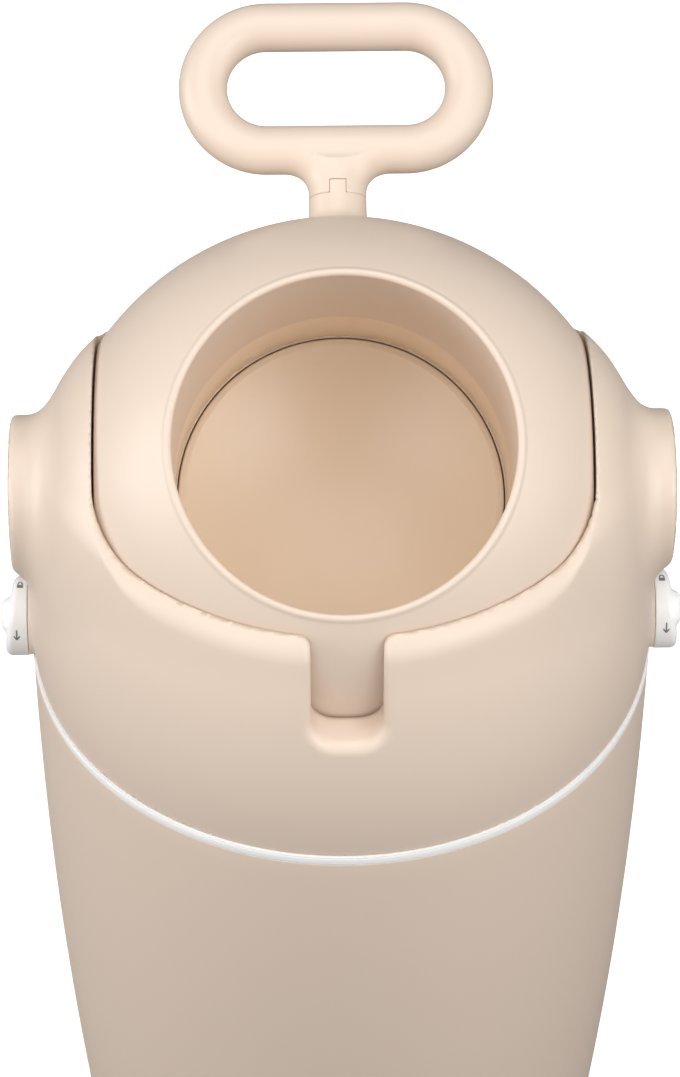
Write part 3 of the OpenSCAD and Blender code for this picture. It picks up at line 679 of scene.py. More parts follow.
# Each moulded finish: its colour's property, roughness, grain and the grain's depth in millimetres, how much
# the colour deepens where it drifts, and the share of light that sinks in
MOULDED = {
    # Polypropylene from a spark-eroded mould: soft, wide highlights
    "moulded_beige": ("beige", 0.40, 0.45, 0.02, 0.02, 0.0),
    # Polypropylene from a smoother mould: a slightly tighter sheen inside the tube. Its colour is lighter
    # than the outside beige: painted light that stands in for the light filling the tube
    "moulded_inner_beige": ("inner", 0.34, 0.60, 0.012, 0.02, 0.0),
    # ABS from a smooth mould: a brighter highlight, and a little light sinks in and softens the shadows
    "moulded_white": ("white", 0.32, 0.60, 0.010, 0.01, 0.15),
    # Thermoplastic elastomer from a blasted mould: hardly any highlight
    "matt_elastomer": ("seal", 0.62, 0.35, 0.03, 0.02, 0.0),
    # Pad-printed ink: thin and flat, and duller than the plastic under it
    "printed_grey": ("mark", 0.50, 0.30, 0.005, 0.02, 0.0),
}


def finish_of(context, kind):
    """The material of that kind, made when it is first asked for."""
    found = bpy.data.materials.get(kind)
    if found:
        return found
    f = context.scene.nb_finish
    if kind == "plated_steel":
        return plated_steel(kind, f.steel)
    code, *settings = MOULDED[kind]
    return moulded_plastic(kind, getattr(f, code), *settings)


# A finish, and the slot of the pieces that wear it
BEIGE = "moulded_beige", "beige_plastic"
INNER = "moulded_inner_beige", "inner_plastic"
WHITE = "moulded_white", "white_plastic"
PRINT = "printed_grey", "white_plastic"


def add_piece(context, name, surface, body, look, *nodes, normals=None):
    """Makes a piece of the surface's points and faces, gives it its finish, puts it on its body and hides
    the CAD nodes that it stands for."""
    finish, slot = look
    piece = mesh_object(name, *surface, normals=normals)
    piece.data.materials.append(finish_of(context, finish))
    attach(piece, body)
    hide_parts(*nodes)


# ---- Pieces ------------------------------------------------------------------------------------


class NB_OT_bucket(bpy.types.Operator):
    """The tapered bucket, with its foot ring and the pegs of the locks"""

    bl_idname = "nappy_bin.bucket"
    bl_label = "Bucket"

    def execute(self, context):
        """A revolved profile: the side is r(z) = R - C + sqrt(C^2 - (z - z_widest)^2), the edges are arcs."""
        b, f = sizes(context, "nb_bucket"), context.scene.nb_finish
        h, lock = sizes(context, "nb_head"), sizes(context, "nb_lock")
        rim_edge, guide = 0.8, 9  # Rounding of the rim, and how far below it the side gives its direction
        peg_below, peg_radius, peg_tip, peg_root = 25, 3, 158, 171.5  # Below the lock, and along X

        def side(z):
            """Radius of the outside at that height."""
            return b.radius - b.curve + np.sqrt(b.curve**2 - (z - b.belly) ** 2)

        def foot_arc(r, a):
            """Arc of radius r about the middle of the foot's rounding."""
            return np.stack([middle + r * np.cos(a), b.foot_round + r * np.sin(a)], -1)

        middle = float(side(b.foot_round)) - b.foot_round
        inner, floor, rim = middle - b.foot_width, b.recess + b.wall, float(side(b.height))
        under = rounded(
            [(0, 0, 0), (b.pad, 0, 0.6), (b.pad, b.recess, 0.8), (inner, b.recess, 1.2), (inner, 0, 1.0),
             (middle, 0, 0)]
        )[:-1]
        z = np.linspace(b.foot_round, b.height, 40)[1:-2]
        outside = np.stack([side(z), z], -1)
        top = rounded(
            [(rim - 0.1, b.height - guide, 0), (rim, b.height, rim_edge), (rim - b.wall, b.height, rim_edge),
             (rim - b.wall, b.height - guide, 0)]
        )[1:-1]
        z = np.linspace(b.height - guide + 1, b.foot_round, 30)
        inside = np.stack([side(z) - b.wall, z], -1)
        over = rounded(
            [(inner + b.wall + 4, b.wall, 0), (inner + b.wall, b.wall, 1.2), (inner + b.wall, floor, 1.2),
             (b.pad, floor, 0)]
        )[1:]
        profile = np.vstack([
            under, foot_arc(b.foot_round, np.linspace(-np.pi / 2, 0, 12)), outside, top, inside,
            foot_arc(b.foot_round - b.wall, np.linspace(0, -np.pi / 2, 8)[1:]), over, [[0, floor]],
        ])
        body = revolve(dense(profile, 12), f.around)
        peg = [(0, peg_tip, 0), (peg_radius, peg_tip, 0.6), (peg_radius, peg_root, 0), (0, peg_root, 0)]
        points, groups = revolve(rounded(peg), 24)
        z = h.axis - lock.drop - peg_below
        pegs = [(shifted(along_x(points, s), z), groups) for s in (-1, 1)]
        add_piece(context, "bucket", joined([body, *pegs]), "bin", BEIGE, "bin_body")
        return {"FINISHED"}


class NB_OT_ring_band(bpy.types.Operator):
    """The rounded outer edge of the white bag ring, which shows in the seam"""

    bl_idname = "nappy_bin.ring_band"
    bl_label = "Ring Band"

    def execute(self, context):
        """A revolved profile of straight lines with rounded corners, let into the ring's own edge."""
        b, h, f = sizes(context, "nb_bucket"), sizes(context, "nb_head"), context.scene.nb_finish
        deep, proud, gap = 3, 0.25, 0.05  # Into the ring, beyond its edge, and to the bucket and the head
        inner, outer, low, high = b.ring - deep, b.ring + proud, b.height + gap, h.bottom - gap
        profile = rounded([(inner, low, 0), (outer, low, 1.2), (outer, high, 1.8), (inner, high, 0)], 6)
        add_piece(context, "ring_band", revolve(profile, f.around), "bag_ring", WHITE)
        return {"FINISHED"}


class NB_OT_head(bpy.types.Operator):
    """The domed head, with its window, slots, ears and hubs in one skin"""

    bl_idname = "nappy_bin.head"
    bl_label = "Head"

    def execute(self, context):
        """The zero of a field: dome and ears joined by a fillet, less the window, the drum's room, the slots
        and the hollow inside, with every edge rounded. The saddle between dome and ear has no grid of two
        parameters without a pinch, so the surface is found in cells instead."""
        h, u, d = sizes(context, "nb_head"), sizes(context, "nb_hub"), sizes(context, "nb_drum")
        lock, cell = sizes(context, "nb_lock"), sizes(context, "nb_finish").head_cell
        lips = 100  # Half-width of the window where the lips' lift is given and their roll starts to widen
        hug, fade_over, sunk = 6, 40, 10  # The band round the drum: fillet, height of its end, depth there
        thin_edge, thicken_over = 4, 12  # Height of the thin bottom edge, and of the wall's thickening above
        closed_over, ear_wall = 7, 84  # Solid height under the lips, and radius of the ear's inner wall
        boss, boss_length, bore, bore_length = 28.2, 17.4, 24.15, 18  # Seat of the axle's bush
        cap_room, shaft, shaft_from = 5, 6.1, 140  # Room of the hub's cap, and hole of the lock's shaft
        pad_edge, pad_sunk, pad_half = 0.5, 1.9, 2.5  # The pad under a lock: beyond the knob, in, half-thick

        def field(p):
            x, y, z = np.abs(p[:, 0]), p[:, 1], p[:, 2]
            # The skin: dome, ears with their hubs, and a band that follows the drum round the window
            dome = np.hypot(np.hypot(p[:, 0], y) + h.curve - h.radius, z + h.belly) - h.curve
            off = np.hypot(y, z)
            shoulder = np.hypot(np.maximum(off - u.shoulder_off, 0), x - u.shoulder_x) - u.shoulder
            hub = round_max(off - u.radius, x - u.end, u.edge)
            ear = round_min(shoulder, hub, u.fillet)
            skin = round_min(dome, ear, h.blend)
            off_barrel = np.hypot(off + d.curve - d.radius, x) - d.curve - h.gap
            fade = np.clip((z - h.rise) / fade_over, 0, 1)
            band = h.band - (h.band + sunk) * fade * fade * (3 - 2 * fade)
            skin = round_min(skin, off_barrel - band, hug)
            # The window with its lips, and the slots for the stem
            over = z - h.rise - h.lift * (x / lips) ** 2
            roll = h.lip + (h.ear - h.lip) * np.clip((x - lips) / (h.window - lips), 0, 1) ** 2
            keep = round_min(over, h.window - x, h.corner)
            sx, sz = x - h.slot + h.slot_corner, h.slot_corner - h.slot_drop - z
            slot = np.hypot(np.maximum(sx, 0), np.maximum(sz, 0)) + np.minimum(np.maximum(sx, sz), 0)
            body = round_max(round_max(skin, keep, roll), h.slot_corner - slot, h.slot_edge)
            # The hollow inside, the drum's room and the ears' inner walls
            thick = h.wall + h.thicker * np.clip((z - h.bottom + h.axis - thin_edge) / thicken_over, 0, 1)
            hollow = np.maximum(body + thick, np.minimum(z - h.rise + closed_over, h.window + h.wall - x))
            body = round_max(body, -np.maximum(off_barrel, x - h.window), h.edge)
            wall = np.maximum(np.abs(x - h.window - h.wall / 2) - h.wall / 2, off - ear_wall)
            hollow = np.maximum(hollow, -wall)
            body = np.maximum(body, -hollow)
            # The bushes' seats and the caps' rooms
            seat = np.maximum(np.maximum(off - boss, x - h.window - boss_length), h.window - x)
            body = np.maximum(np.minimum(body, seat), -np.maximum(off - bore, x - h.window - bore_length))
            cap = np.maximum(off - u.radius + h.wall, u.end - cap_room - x)
            body = round_max(body, -cap, 0.7)
            # The locks' pads and holes, and the bottom edge
            at_lock = np.hypot(y, z + lock.drop)
            pad = np.abs(x - h.radius + pad_sunk) - pad_half
            pad = np.maximum(at_lock - lock.diameter / 2 - pad_edge, pad)
            body = round_min(body, pad, 1.2)
            body = np.maximum(body, -np.maximum(at_lock - shaft, shaft_from - x))
            return round_max(body, h.bottom - h.axis - z, 0.8)

        margin, top, bottom = 3, 96, h.bottom - h.axis
        end, side = u.end + margin, h.radius + margin
        points, groups, normals = field_surface(
            field, (-end, -side, bottom - margin), (end, side, top), cell,
            (h.window + cell / 2, 0, bottom + cell / 2),
        )
        surface = shifted(points, h.axis), groups
        add_piece(context, "head", surface, "head", BEIGE, "head_shell", normals=normals)
        return {"FINISHED"}


class NB_OT_hub_caps(bpy.types.Operator):
    """The round caps that close the ends of the two hubs"""

    bl_idname = "nappy_bin.hub_caps"
    bl_label = "Hub Caps"

    def execute(self, context):
        """A revolved profile of straight lines with rounded corners, turned to the X axis."""
        u, h, f = sizes(context, "nb_hub"), sizes(context, "nb_head"), context.scene.nb_finish
        r, end = u.radius - h.wall - 0.1, u.end - 0.5
        skirt, wall, lid = end - 11.5, r - 2, end - 3
        profile = rounded(
            [(0, end, 0), (r, end, 0.9), (r, skirt, 0.3), (wall, skirt, 0.3), (wall, lid, 0.3), (0, lid, 0)]
        )
        points, groups = revolve(dense(profile, 6), f.around)
        for side, word in ((-1, "left"), (1, "right")):
            surface = shifted(along_x(points, side), h.axis), groups
            add_piece(context, f"hub_end_{word}", surface, "head", BEIGE, f"hub_cap_{word}")
        return {"FINISHED"}


def barrel_height(d, rho, a):
    """Height of the barrel over the plane of the axis, at the distance rho and the angle a from the middle:
    sqrt((R - C + sqrt(C^2 - x^2))^2 - y^2) at x = rho cos a, y = rho sin a."""
    side = d.radius - d.curve + np.sqrt(d.curve**2 - (rho * np.cos(a)) ** 2)
    return np.sqrt(side**2 - (rho * np.sin(a)) ** 2)


class NB_OT_drum(bpy.types.Operator):
    """The two halves of the drum, each with its mouth, its neck and half of the handle's stub"""

    bl_idname = "nappy_bin.drum"
    bl_label = "Drum"

    def execute(self, context):
        """Both halves are the same surface, the second turned over."""
        points, groups = joined([self.barrel(context), self.stub(context), self.key(context)])
        halves = ("drum_half_front", "a", 1, groups), ("drum_half_back", "b", -1, turned_over(groups))
        for name, half, turn, faces in halves:
            surface = in_drum(points * np.array([1, 1, turn]), context), faces
            add_piece(context, name, surface, "drum", BEIGE, f"drum_shell_{half}", f"mouth_ring_{half}")
        return {"FINISHED"}

    def barrel(self, context):
        """Half of the barrel, on a grid of the angle a round the mouth and the way s along its outline.

        From the parting plane to the rim a point lies where the ray of elevation e and azimuth a leaves the
        barrel, whose field is hypot(hypot(y, z) + c, x) - C, rounded into the flat ends. The rim is an arc
        that stands proud along the barrel's normal and rolls over into the neck.
        """
        d = sizes(context, "nb_drum")
        roll, roll_at, seam = 2.1, 1.9, 0.1  # Radius of the rim's arc, its top from the mouth, half the gap
        a = np.linspace(0, 2 * np.pi, 384, endpoint=False)[:, None]
        ca, sa = np.cos(a), np.sin(a)
        more = d.curve - d.radius

        def height(rho):
            """Height of the barrel above the parting plane, at the distance rho from the mouth's axis."""
            return barrel_height(d, rho, a)

        def leaves(e):
            """Distance at which the ray of elevation e leaves the rounded barrel."""
            ux, w = np.abs(np.cos(e) * ca), np.hypot(np.cos(e) * sa, np.sin(e))
            t = -more * w + np.sqrt(d.curve**2 - more**2 + (more * w) ** 2)
            t = np.minimum(t, d.half_width / np.maximum(ux, 1e-6))

            def field(t):
                barrel = np.hypot(t * w + more, t * ux) - d.curve
                return round_max(barrel, t * ux - d.half_width, d.end_round)

            for _ in range(5):
                t = t - field(t) / np.maximum((field(t + 0.01) - field(t - 0.01)) / 0.02, 0.2)
            return t

        foot = d.mouth + d.rim + 0.5
        e_rim = np.arctan2(height(foot), foot)
        e = e_rim * np.linspace(0, 1, 150)[None, :]
        t = leaves(e)
        rho, q = [t * np.cos(e)], [np.maximum(t * np.sin(e), seam)]
        # The rim: a rise of a cosine's shape, then an arc that rolls over into the neck
        at = d.mouth + roll_at
        slope = -(height(at + 0.5) - height(at - 0.5))
        tilt = np.arctan(slope)
        nr, nq = np.sin(tilt), np.cos(tilt)
        cr = d.mouth + roll
        cq = (at * nr + height(at) * nq + d.proud - roll - cr * nr) / nq
        top_r, top_q = cr + roll * nr, cq + roll * nq
        g = np.linspace(0, 1, 10)[None, 1:-1]
        blend = (1 - np.cos(np.pi * g)) / 2
        rise = foot + (top_r - foot) * g
        rho.append(rise)
        q.append(height(rise) * (1 - blend) + (top_q - (rise - top_r) * slope) * blend)
        turn = np.pi / 2 - tilt + (np.pi / 2 + tilt) * np.linspace(0, 1, 16)[None, :]
        rho.append(cr + roll * np.cos(turn))
        q.append(cq + roll * np.sin(turn))
        # The neck: the lip that holds the piston, the tube's wall down to the sleeve, and back to the plane
        low, outer = d.sleeve + 0.3, d.tube + d.tube_wall
        neck = rounded(
            [(d.mouth, d.lip + 4, 0), (d.mouth, d.lip + 1.4, 0.8), (d.tube, d.lip - 1.2, 0.8),
             (d.tube, low, 0.5), (outer, low, 0), (outer + 0.5, seam, 0)]
        )[1:]
        neck = dense(neck, 3.0)
        rho.append(neck[:, 0])
        q.append(neck[:, 1])
        rho, q = (np.hstack([part + 0 * a for part in parts]) for parts in (rho, q))
        points = np.stack([rho * ca, rho * sa, q], -1).reshape(-1, 3)
        return outward(points, [grid_faces(*rho.shape, True, True)])

    def stub(self, context):
        """Half of the stub, turned about the handle's axis: a tube whose foot widens by a fillet that ends on
        the barrel, y = barrel(rho, a) + r - sqrt(r^2 - (R + r - rho)^2), closed by its flat faces."""
        d, h = sizes(context, "nb_drum"), sizes(context, "nb_handle")
        fillet, bore, deep = 7.0, h.tang + 0.4, 141
        r, wide = h.stem / 2, h.stem / 2 + fillet
        a = np.linspace(0, np.pi, 73)[:, None]
        out = wide - fillet * np.sin(np.linspace(0, np.pi / 2, 12))[None, :]
        foot = barrel_height(d, out, a) + fillet - np.sqrt(np.maximum(fillet**2 - (wide - out) ** 2, 0))
        foot[:, 0] -= 0.3
        top = rounded([(r, h.seam - 6, 0), (r, h.seam, 0.8), (bore, h.seam, 0.5), (bore, deep, 0),
                       (wide - 1, deep, 0)])
        rho, y = np.hstack([out + 0 * a, top[:, 0] + 0 * a]), np.hstack([foot, top[:, 1] + 0 * a])
        points = np.stack([rho * np.cos(a), y, rho * np.sin(a) + 0.1], -1).reshape(-1, 3)
        return outward(points, closed_strip(*rho.shape))

    def key(self, context):
        """The tongue that reaches from the stub into the handle: its outline in (y, rho), kept at each x on
        z = sqrt(rho^2 - x^2)."""
        h = sizes(context, "nb_handle")
        low, high = h.seam - 3, h.seam + h.key_height - 0.3
        inner, outer, half = h.tang + 0.6, h.stem / 2, h.key_width / 2 - 0.15
        x = np.linspace(-1, 1, 13)[:, None] * half
        outline = rounded([(low, inner, 0), (high, inner, 0.4), (high, outer, 0.6), (low, outer, 0)], 4)
        y, rho = outline[None, :, 0] + 0 * x, outline[None, :, 1] + 0 * x
        points = np.stack([x + 0 * y, y, np.sqrt(rho**2 - x**2)], -1).reshape(-1, 3)
        return outward(points, closed_strip(*y.shape))


class NB_OT_handle(bpy.types.Operator):
    """The loop handle with its stem, the notches of its keys and its tang"""

    bl_idname = "nappy_bin.handle"
    bl_label = "Handle"

    def execute(self, context):
        """The zero of a field: a ring of round bar about a stadium's outline, joined to the stem by a fillet.
        The fillet closes round where the stem meets the curved bar, so the surface is found in cells."""
        h, cell = sizes(context, "nb_handle"), sizes(context, "nb_finish").handle_cell
        swell_before, swell_over, shy = 8, 15, 0.4  # The stem swells into the bar, to a little under its size
        tang_end, collar, collar_at, collar_half = 121, 15, 128.5, 2.5  # The tang and its collar, along Y
        bar, stem = h.bar / 2, h.stem / 2
        bend = (h.height - h.bar) / 2
        straight = (h.width - h.bar) / 2 - bend
        middle = h.start + h.height / 2

        def field(p):
            x, y, z = np.abs(p[:, 0]), p[:, 1], np.abs(p[:, 2])
            ring = np.hypot(np.hypot(np.maximum(x - straight, 0), y - middle) - bend, z) - bar
            g = np.clip((y - h.start + swell_before) / swell_over, 0, 1)
            thick = stem + (bar - shy - stem) * g * g * (3 - 2 * g)
            post = (np.hypot(x, z * stem / thick) - stem) * thick / stem
            post = round_max(np.maximum(post, y - h.start - 2), h.seam - y, 0.8)
            body = round_min(ring, post, h.flare)
            off = np.hypot(x, z)
            notch = np.maximum(np.maximum(x - h.key_width / 2, y - h.seam - h.key_height), h.tang + 0.5 - off)
            body = round_max(body, -notch, 0.5)
            tang = np.maximum(np.maximum(off - h.tang, tang_end - y), y - h.seam - 3)
            band = np.maximum(off - collar, np.abs(y - collar_at) - collar_half)
            return np.minimum(body, np.minimum(tang, band))

        low = (-h.width / 2 - 2, tang_end - 2, -stem - 2)
        high = (h.width / 2 + 2, h.start + h.height + 2, stem + 2)
        points, groups, normals = field_surface(
            field, low, high, cell, (cell / 2, h.seam + cell / 2, cell / 2)
        )
        normals = in_drum(normals, context) - in_drum(np.zeros((1, 3)), context)
        surface = in_drum(points, context), groups
        add_piece(context, "handle_loop", surface, "drum", BEIGE, "handle", normals=normals)
        return {"FINISHED"}


class NB_OT_tube(bpy.types.Operator):
    """The middle sleeve of the tube and the two halves of the piston that slides in it"""

    bl_idname = "nappy_bin.tube"
    bl_label = "Tube and Piston"

    def execute(self, context):
        """Revolved profiles. The dish of a piston half is a ball's cap, z = z0 + B - sqrt(B^2 - r^2)."""
        d, f = sizes(context, "nb_drum"), context.scene.nb_finish
        bore, wall = d.tube + 0.5, d.tube + d.tube_wall
        sleeve = rounded(
            [(bore, -d.sleeve, 1.0), (wall, -d.sleeve, 0.3), (wall, d.sleeve, 0.3), (bore, d.sleeve, 1.0)]
        )
        points, groups = revolve(dense(sleeve, 4), f.around)
        add_piece(context, "tube_middle", (in_drum(points, context), groups), "drum", INNER, "tube_sleeve")
        cup, rim_width, seal_depth = 2.6, 4, 2.2  # A cup's wall, its rim's width and its groove's depth
        half, skirt = d.piston_length / 2, d.tube - d.piston_gap
        dish, groove = skirt - rim_width, skirt - seal_depth
        inner, seal_top, seal_low = groove - cup, half - 4.9, half - 9.1
        ball = (dish**2 + d.dish**2) / (2 * d.dish)
        r = np.linspace(0, dish - 0.8, 40)
        upper = np.stack([r, half - d.dish + ball - np.sqrt(ball**2 - r**2)], -1)
        rim = rounded(
            [tuple(upper[-1]) + (0,), (dish, half, 1.1), (skirt, half, 1.3), (skirt, seal_top, 0.2),
             (groove, seal_top, 0), (groove, seal_low, 0), (skirt, seal_low, 0.2), (skirt, 0.05, 0.3),
             (inner, 0.05, 0), (inner, half - d.dish, 0)]
        )[1:]
        r = np.linspace(inner, 0, 30)
        under = np.stack([r, half - d.dish + ball - np.sqrt((ball + cup) ** 2 - r**2)], -1)
        points, groups = revolve(np.vstack([upper, dense(rim, 5), under]), f.around)
        q = half + 0.1 - d.lip
        for name, node, turn in (
            ("piston_half_front", "piston_cup_a", 1), ("piston_half_back", "piston_cup_b", -1),
        ):
            surface = in_drum(shifted(points * np.array([1, turn, turn]), q), context), groups
            add_piece(context, name, surface, "piston", INNER, node)
        return {"FINISHED"}


class NB_OT_locks(bpy.types.Operator):
    """The two rotary locks: a knob with a grip, and the two marks on its edge"""

    bl_idname = "nappy_bin.locks"
    bl_label = "Locks"

    def execute(self, context):
        """The knob is the zero of a field of a sloping base and a grip across it. The marks are strokes of a
        set width laid on the knob's edge, each a closed ribbon on a grid along and across the stroke."""
        k, h = sizes(context, "nb_lock"), sizes(context, "nb_head")
        cell = sizes(context, "nb_finish").knob_cell
        r, slant = k.diameter / 2, math.sqrt(0.5)
        lift, slope = 1.9, 0.12  # The base's top: height at its middle over the base's size, and slope
        inset, shaft, shaft_end = 1.2, 6, -11.3  # The grip's ends from the edge, and the shaft behind

        def field(p):
            out, across = p[:, 0], (p[:, 1] + p[:, 2]) * slant
            off = np.hypot(p[:, 1], p[:, 2])
            base = round_max(off - r, out - k.base - lift + slope * across, 4.2)
            grip = round_max(np.abs(across) - k.grip_width / 2, off - r + inset, 5)
            knob = round_min(base, round_max(grip, out - k.grip, 6.5), 1.6)
            knob = round_max(knob, -out, 0.7)
            return np.minimum(knob, np.maximum(np.maximum(off - shaft, shaft_end - out), out - 1))

        points, groups, normals = field_surface(
            field, (-13, -r - 2, -r - 2), (k.grip + 2, r + 2, r + 2), cell, (cell / 2, 0, 0)
        )
        marks, strokes = joined([self.stroke(line, width, r) for line, width in self.marks()])
        z = h.axis - k.drop
        for side, word in ((-1, "left"), (1, "right")):
            flip, x, body = np.array([side, 1, 1]), side * k.base_x, f"lock_{word}"
            faces, lines = (groups, strokes) if side > 0 else (turned_over(groups), turned_over(strokes))
            surface, facing = (shifted(points * flip, z, x), faces), normals * flip
            add_piece(context, f"knob_{word}", surface, body, WHITE, f"lock_knob_{word}", normals=facing)
            surface = shifted(marks * flip, z, x), lines
            add_piece(context, f"knob_marks_{word}", surface, body, PRINT)
        return {"FINISHED"}

    def marks(self):
        """Lines of the shut lock and of the turning arrow, each with its width.

        A line's points are the distance out in millimetres and the angle round the edge in degrees.
        """
        a = np.linspace(0, np.pi, 9)
        body = [[4.2, 44.0], [4.2, 49.5]]
        bow = np.stack([4.2 + 1.3 * np.cos(a), 49.5 + 6.5 * np.sin(a)], -1)
        shaft, left, right = [[6, -20], [6, -35]], [[4.4, -30], [6, -36]], [[7.6, -30], [6, -36]]
        return [(body, 3.4), (bow, 0.7), (shaft, 0.8), (left, 0.8), (right, 0.8)]

    def stroke(self, line, width, r):
        """A ribbon of that width along a line on the knob's edge, 0.12 mm proud of it and closed below."""
        line, proud, deep = np.asarray(line, float), 0.12, -0.3
        t = np.linspace(0, 1, 24)
        at = np.linspace(0, 1, len(line))
        out = np.interp(t, at, line[:, 0])
        arc = np.interp(t, at, line[:, 1]) * np.pi / 180 * r
        du, dv = np.gradient(out), np.gradient(arc)
        size = np.hypot(du, dv)
        nu, nv = -dv / size * width / 2, du / size * width / 2
        ring = np.array([[-1, deep], [-1, proud], [1, proud], [1, deep]])
        u = out[:, None] + nu[:, None] * ring[:, 0]
        v = arc[:, None] + nv[:, None] * ring[:, 0]
        # Angle 0 looks to the front and up, where the user stands
        round_edge = v / r + math.radians(43.4)
        rho = r + ring[:, 1] + 0 * u
        points = np.stack([u, -rho * np.cos(round_edge), rho * np.sin(round_edge)], -1).reshape(-1, 3)
        return outward(points, closed_strip(*u.shape))


# The finish of each piece whose shape stays the CAD's own
CAD_FINISHES = {
    "moulded_inner_beige": ("drop_chute",),
    "moulded_white": (
        "bag_ring", "axle_bush_left", "axle_bush_right", "drum_axle_left", "drum_axle_right",
        "lock_hook_left", "lock_hook_right",
    ),
    "matt_elastomer": ("chute_seal", "piston_seal_a", "piston_seal_b"),
    "plated_steel": (
        "head_screws", "axle_screws", "axle_nuts", "drum_screws", "lock_screw_left", "lock_screw_right",
    ),
}


class NB_OT_cad_finishes(bpy.types.Operator):
    """Materials of the pieces whose shape is the CAD's own"""

    bl_idname = "nappy_bin.cad_finishes"
    bl_label = "Finishes of the CAD Pieces"

    def execute(self, context):
        """Puts each finish in the material slots of its nodes."""
        for kind, nodes in CAD_FINISHES.items():
            for node in nodes:
                for slot in frame["nodes"][node].material_slots:
                    slot.material = finish_of(context, kind)
        return {"FINISHED"}


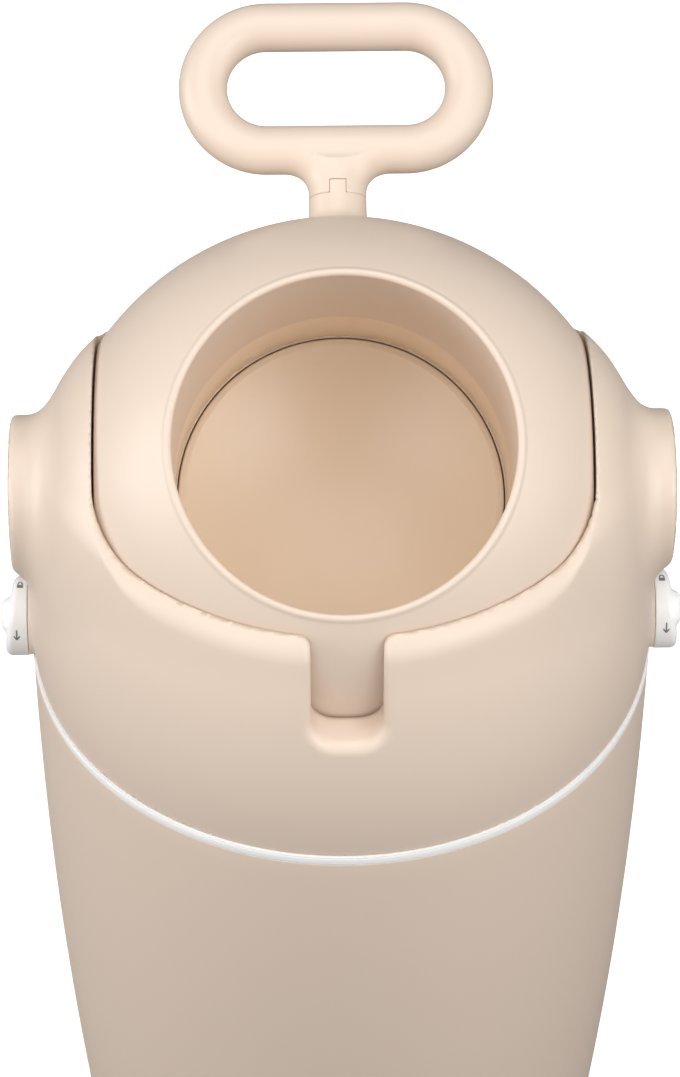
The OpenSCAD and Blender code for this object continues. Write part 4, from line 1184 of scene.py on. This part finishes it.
class NB_OT_stage(bpy.types.Operator):
    """Camera, lights, floor and surroundings"""

    bl_idname = "nappy_bin.stage"
    bl_label = "Stage"

    def execute(self, context):
        """The camera looks down on the drum. Broad lights stand above, at the sides and in front."""
        s, scene = context.scene.nb_stage, context.scene
        sensor, width, height = 36.0, 680, 1077  # The camera's sensor in millimetres, the picture in pixels
        target = Vector((0, 0, scene.nb_head.axis))
        level = math.cos(s.elevation)
        back = Vector((-math.sin(s.turn) * level, -math.cos(s.turn) * level, math.sin(s.elevation)))
        data = bpy.data.cameras.new("camera")
        data.lens, data.sensor_width, data.clip_end = s.lens, sensor, 20.0
        camera = self.stand(scene, "camera", data)
        pixels = s.lens / sensor * height
        pitch = Matrix.Rotation(math.atan((s.aim[1] - height / 2) / pixels), 3, "X")
        yaw = Matrix.Rotation(math.atan((s.aim[0] - width / 2) / pixels), 3, "Y")
        roll = Matrix.Rotation(s.roll, 3, "Z")
        turned = back.to_track_quat("Z", "Y").to_matrix() @ pitch @ yaw @ roll
        camera.matrix_world = Matrix.Translation(target + back * s.distance) @ turned.to_4x4()
        scene.camera = camera
        for name, place, size, watts in (
            ("top_light", (0.0, -0.3, 2.7), 1.7, s.top),
            ("left_light", (-2.3, -0.2, 1.1), 1.5, s.left),
            ("right_light", (2.2, -0.7, 1.2), 1.5, s.right),
            ("front_left_light", (-1.3, -1.7, 2.0), 1.5, s.front_left),
            ("front_right_light", (1.4, -1.6, 1.9), 1.5, s.front_right),
        ):
            self.light(scene, name, Vector(place), target, size, watts)
        self.floor(scene)
        self.sky(scene, s.sky)
        scene.view_settings.view_transform = "Standard"
        return {"FINISHED"}

    def stand(self, scene, name, data):
        """A camera or a lamp in the scene."""
        thing = bpy.data.objects.new(name, data)
        scene.collection.objects.link(thing)
        return thing

    def light(self, scene, name, place, target, size, watts):
        """A square area light that looks at the target."""
        data = bpy.data.lights.new(name, "AREA")
        data.size, data.energy = size, watts
        lamp = self.stand(scene, name, data)
        turned = (place - target).to_track_quat("Z", "Y").to_matrix()
        lamp.matrix_world = Matrix.Translation(place) @ turned.to_4x4()
        lamp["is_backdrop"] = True

    def floor(self, scene):
        """A plain floor: white to the camera apart from the object's shadow, and darker in what it throws
        back, so that the lower part of the bucket isn't lit from below."""
        reach, thrown_back, glow = 6000.0, (0.28, 0.27, 0.26, 1.0), 0.75
        points = np.array([[-1, -1, 0], [1, -1, 0], [1, 1, 0], [-1, 1, 0]]) * reach
        floor = mesh_object("floor", points, [np.array([[0, 1, 2, 3]])], sharp=0)
        material = bpy.data.materials.new("plain_floor")
        tree = emptied_tree(material)
        seen = add_node(tree, "ShaderNodeLightPath").outputs["Is Camera Ray"]
        pale = linear(scene.nb_finish.floor)
        paint = add_node(tree, "ShaderNodeMix", {"Factor": seen}, data_type="RGBA")
        paint.inputs["A"].default_value, paint.inputs["B"].default_value = thrown_back, pale
        matt = add_node(tree, "ShaderNodeBsdfDiffuse", {"Color": paint.outputs["Result"]})
        lift = add_node(tree, "ShaderNodeMath", {0: seen, 1: glow}, operation="MULTIPLY")
        light = add_node(tree, "ShaderNodeEmission", {"Color": pale, "Strength": lift.outputs["Value"]})
        both = add_node(tree, "ShaderNodeAddShader", {0: matt.outputs["BSDF"], 1: light.outputs["Emission"]})
        add_node(tree, "ShaderNodeOutputMaterial", {"Surface": both.outputs["Shader"]})
        floor.data.materials.append(material)
        floor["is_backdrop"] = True

    def sky(self, scene, strength):
        """White behind the floor, and an even, neutral light from all round."""
        white = (1.0, 1.0, 1.0, 1.0)
        world = bpy.data.worlds.new("studio")
        scene.world = world
        tree = emptied_tree(world)
        seen = add_node(tree, "ShaderNodeLightPath").outputs["Is Camera Ray"]
        shine = add_node(tree, "ShaderNodeMapRange", {"Value": seen, "To Min": strength, "To Max": 1.0})
        light = add_node(
            tree, "ShaderNodeBackground", {"Color": white, "Strength": shine.outputs["Result"]}
        )
        add_node(tree, "ShaderNodeOutputWorld", {"Surface": light.outputs["Background"]})


class NB_PT_panel(bpy.types.Panel):
    """Runs the pieces one by one and shows their sizes"""

    bl_idname = "NB_PT_panel"
    bl_label = "Nappy Bin"
    bl_space_type = "VIEW_3D"
    bl_region_type = "UI"
    bl_category = "Nappy Bin"

    def draw(self, context):
        """A button for each operator, then every property under its group's name."""
        for operator in OPERATORS:
            self.layout.operator(operator.bl_idname)
        for name, group in GROUPS.items():
            box = self.layout.box()
            box.label(text=group.__name__)
            for key in group.__annotations__:
                box.prop(getattr(context.scene, name), key)


OPERATORS = (
    NB_OT_bucket, NB_OT_ring_band, NB_OT_head, NB_OT_hub_caps, NB_OT_drum, NB_OT_handle, NB_OT_tube,
    NB_OT_locks, NB_OT_cad_finishes, NB_OT_stage,
)


def register():
    """Registers the groups, operators and panel, and puts the groups on the scene."""
    for cls in (*GROUPS.values(), *OPERATORS, NB_PT_panel):
        bpy.utils.register_class(cls)
    for name, group in GROUPS.items():
        setattr(bpy.types.Scene, name, PointerProperty(type=group))


def unregister():
    """Takes everything off again."""
    for name in GROUPS:
        delattr(bpy.types.Scene, name)
    for cls in reversed((*GROUPS.values(), *OPERATORS, NB_PT_panel)):
        bpy.utils.unregister_class(cls)


def corners(bounds):
    """The two corners of a box as plain lists."""
    return [[float(v) for v in corner] for corner in bounds]


def main():
    """Makes every piece through its operator."""
    register()
    for operator in OPERATORS:
        group, name = operator.bl_idname.split(".")
        if getattr(getattr(bpy.ops, group), name)() != {"FINISHED"}:
            raise RuntimeError(f"{operator.bl_idname} did not finish")
    {"after_load": corners(cad_box), "before_finish": corners(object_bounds())}


if __name__ == "__main__":
    main()
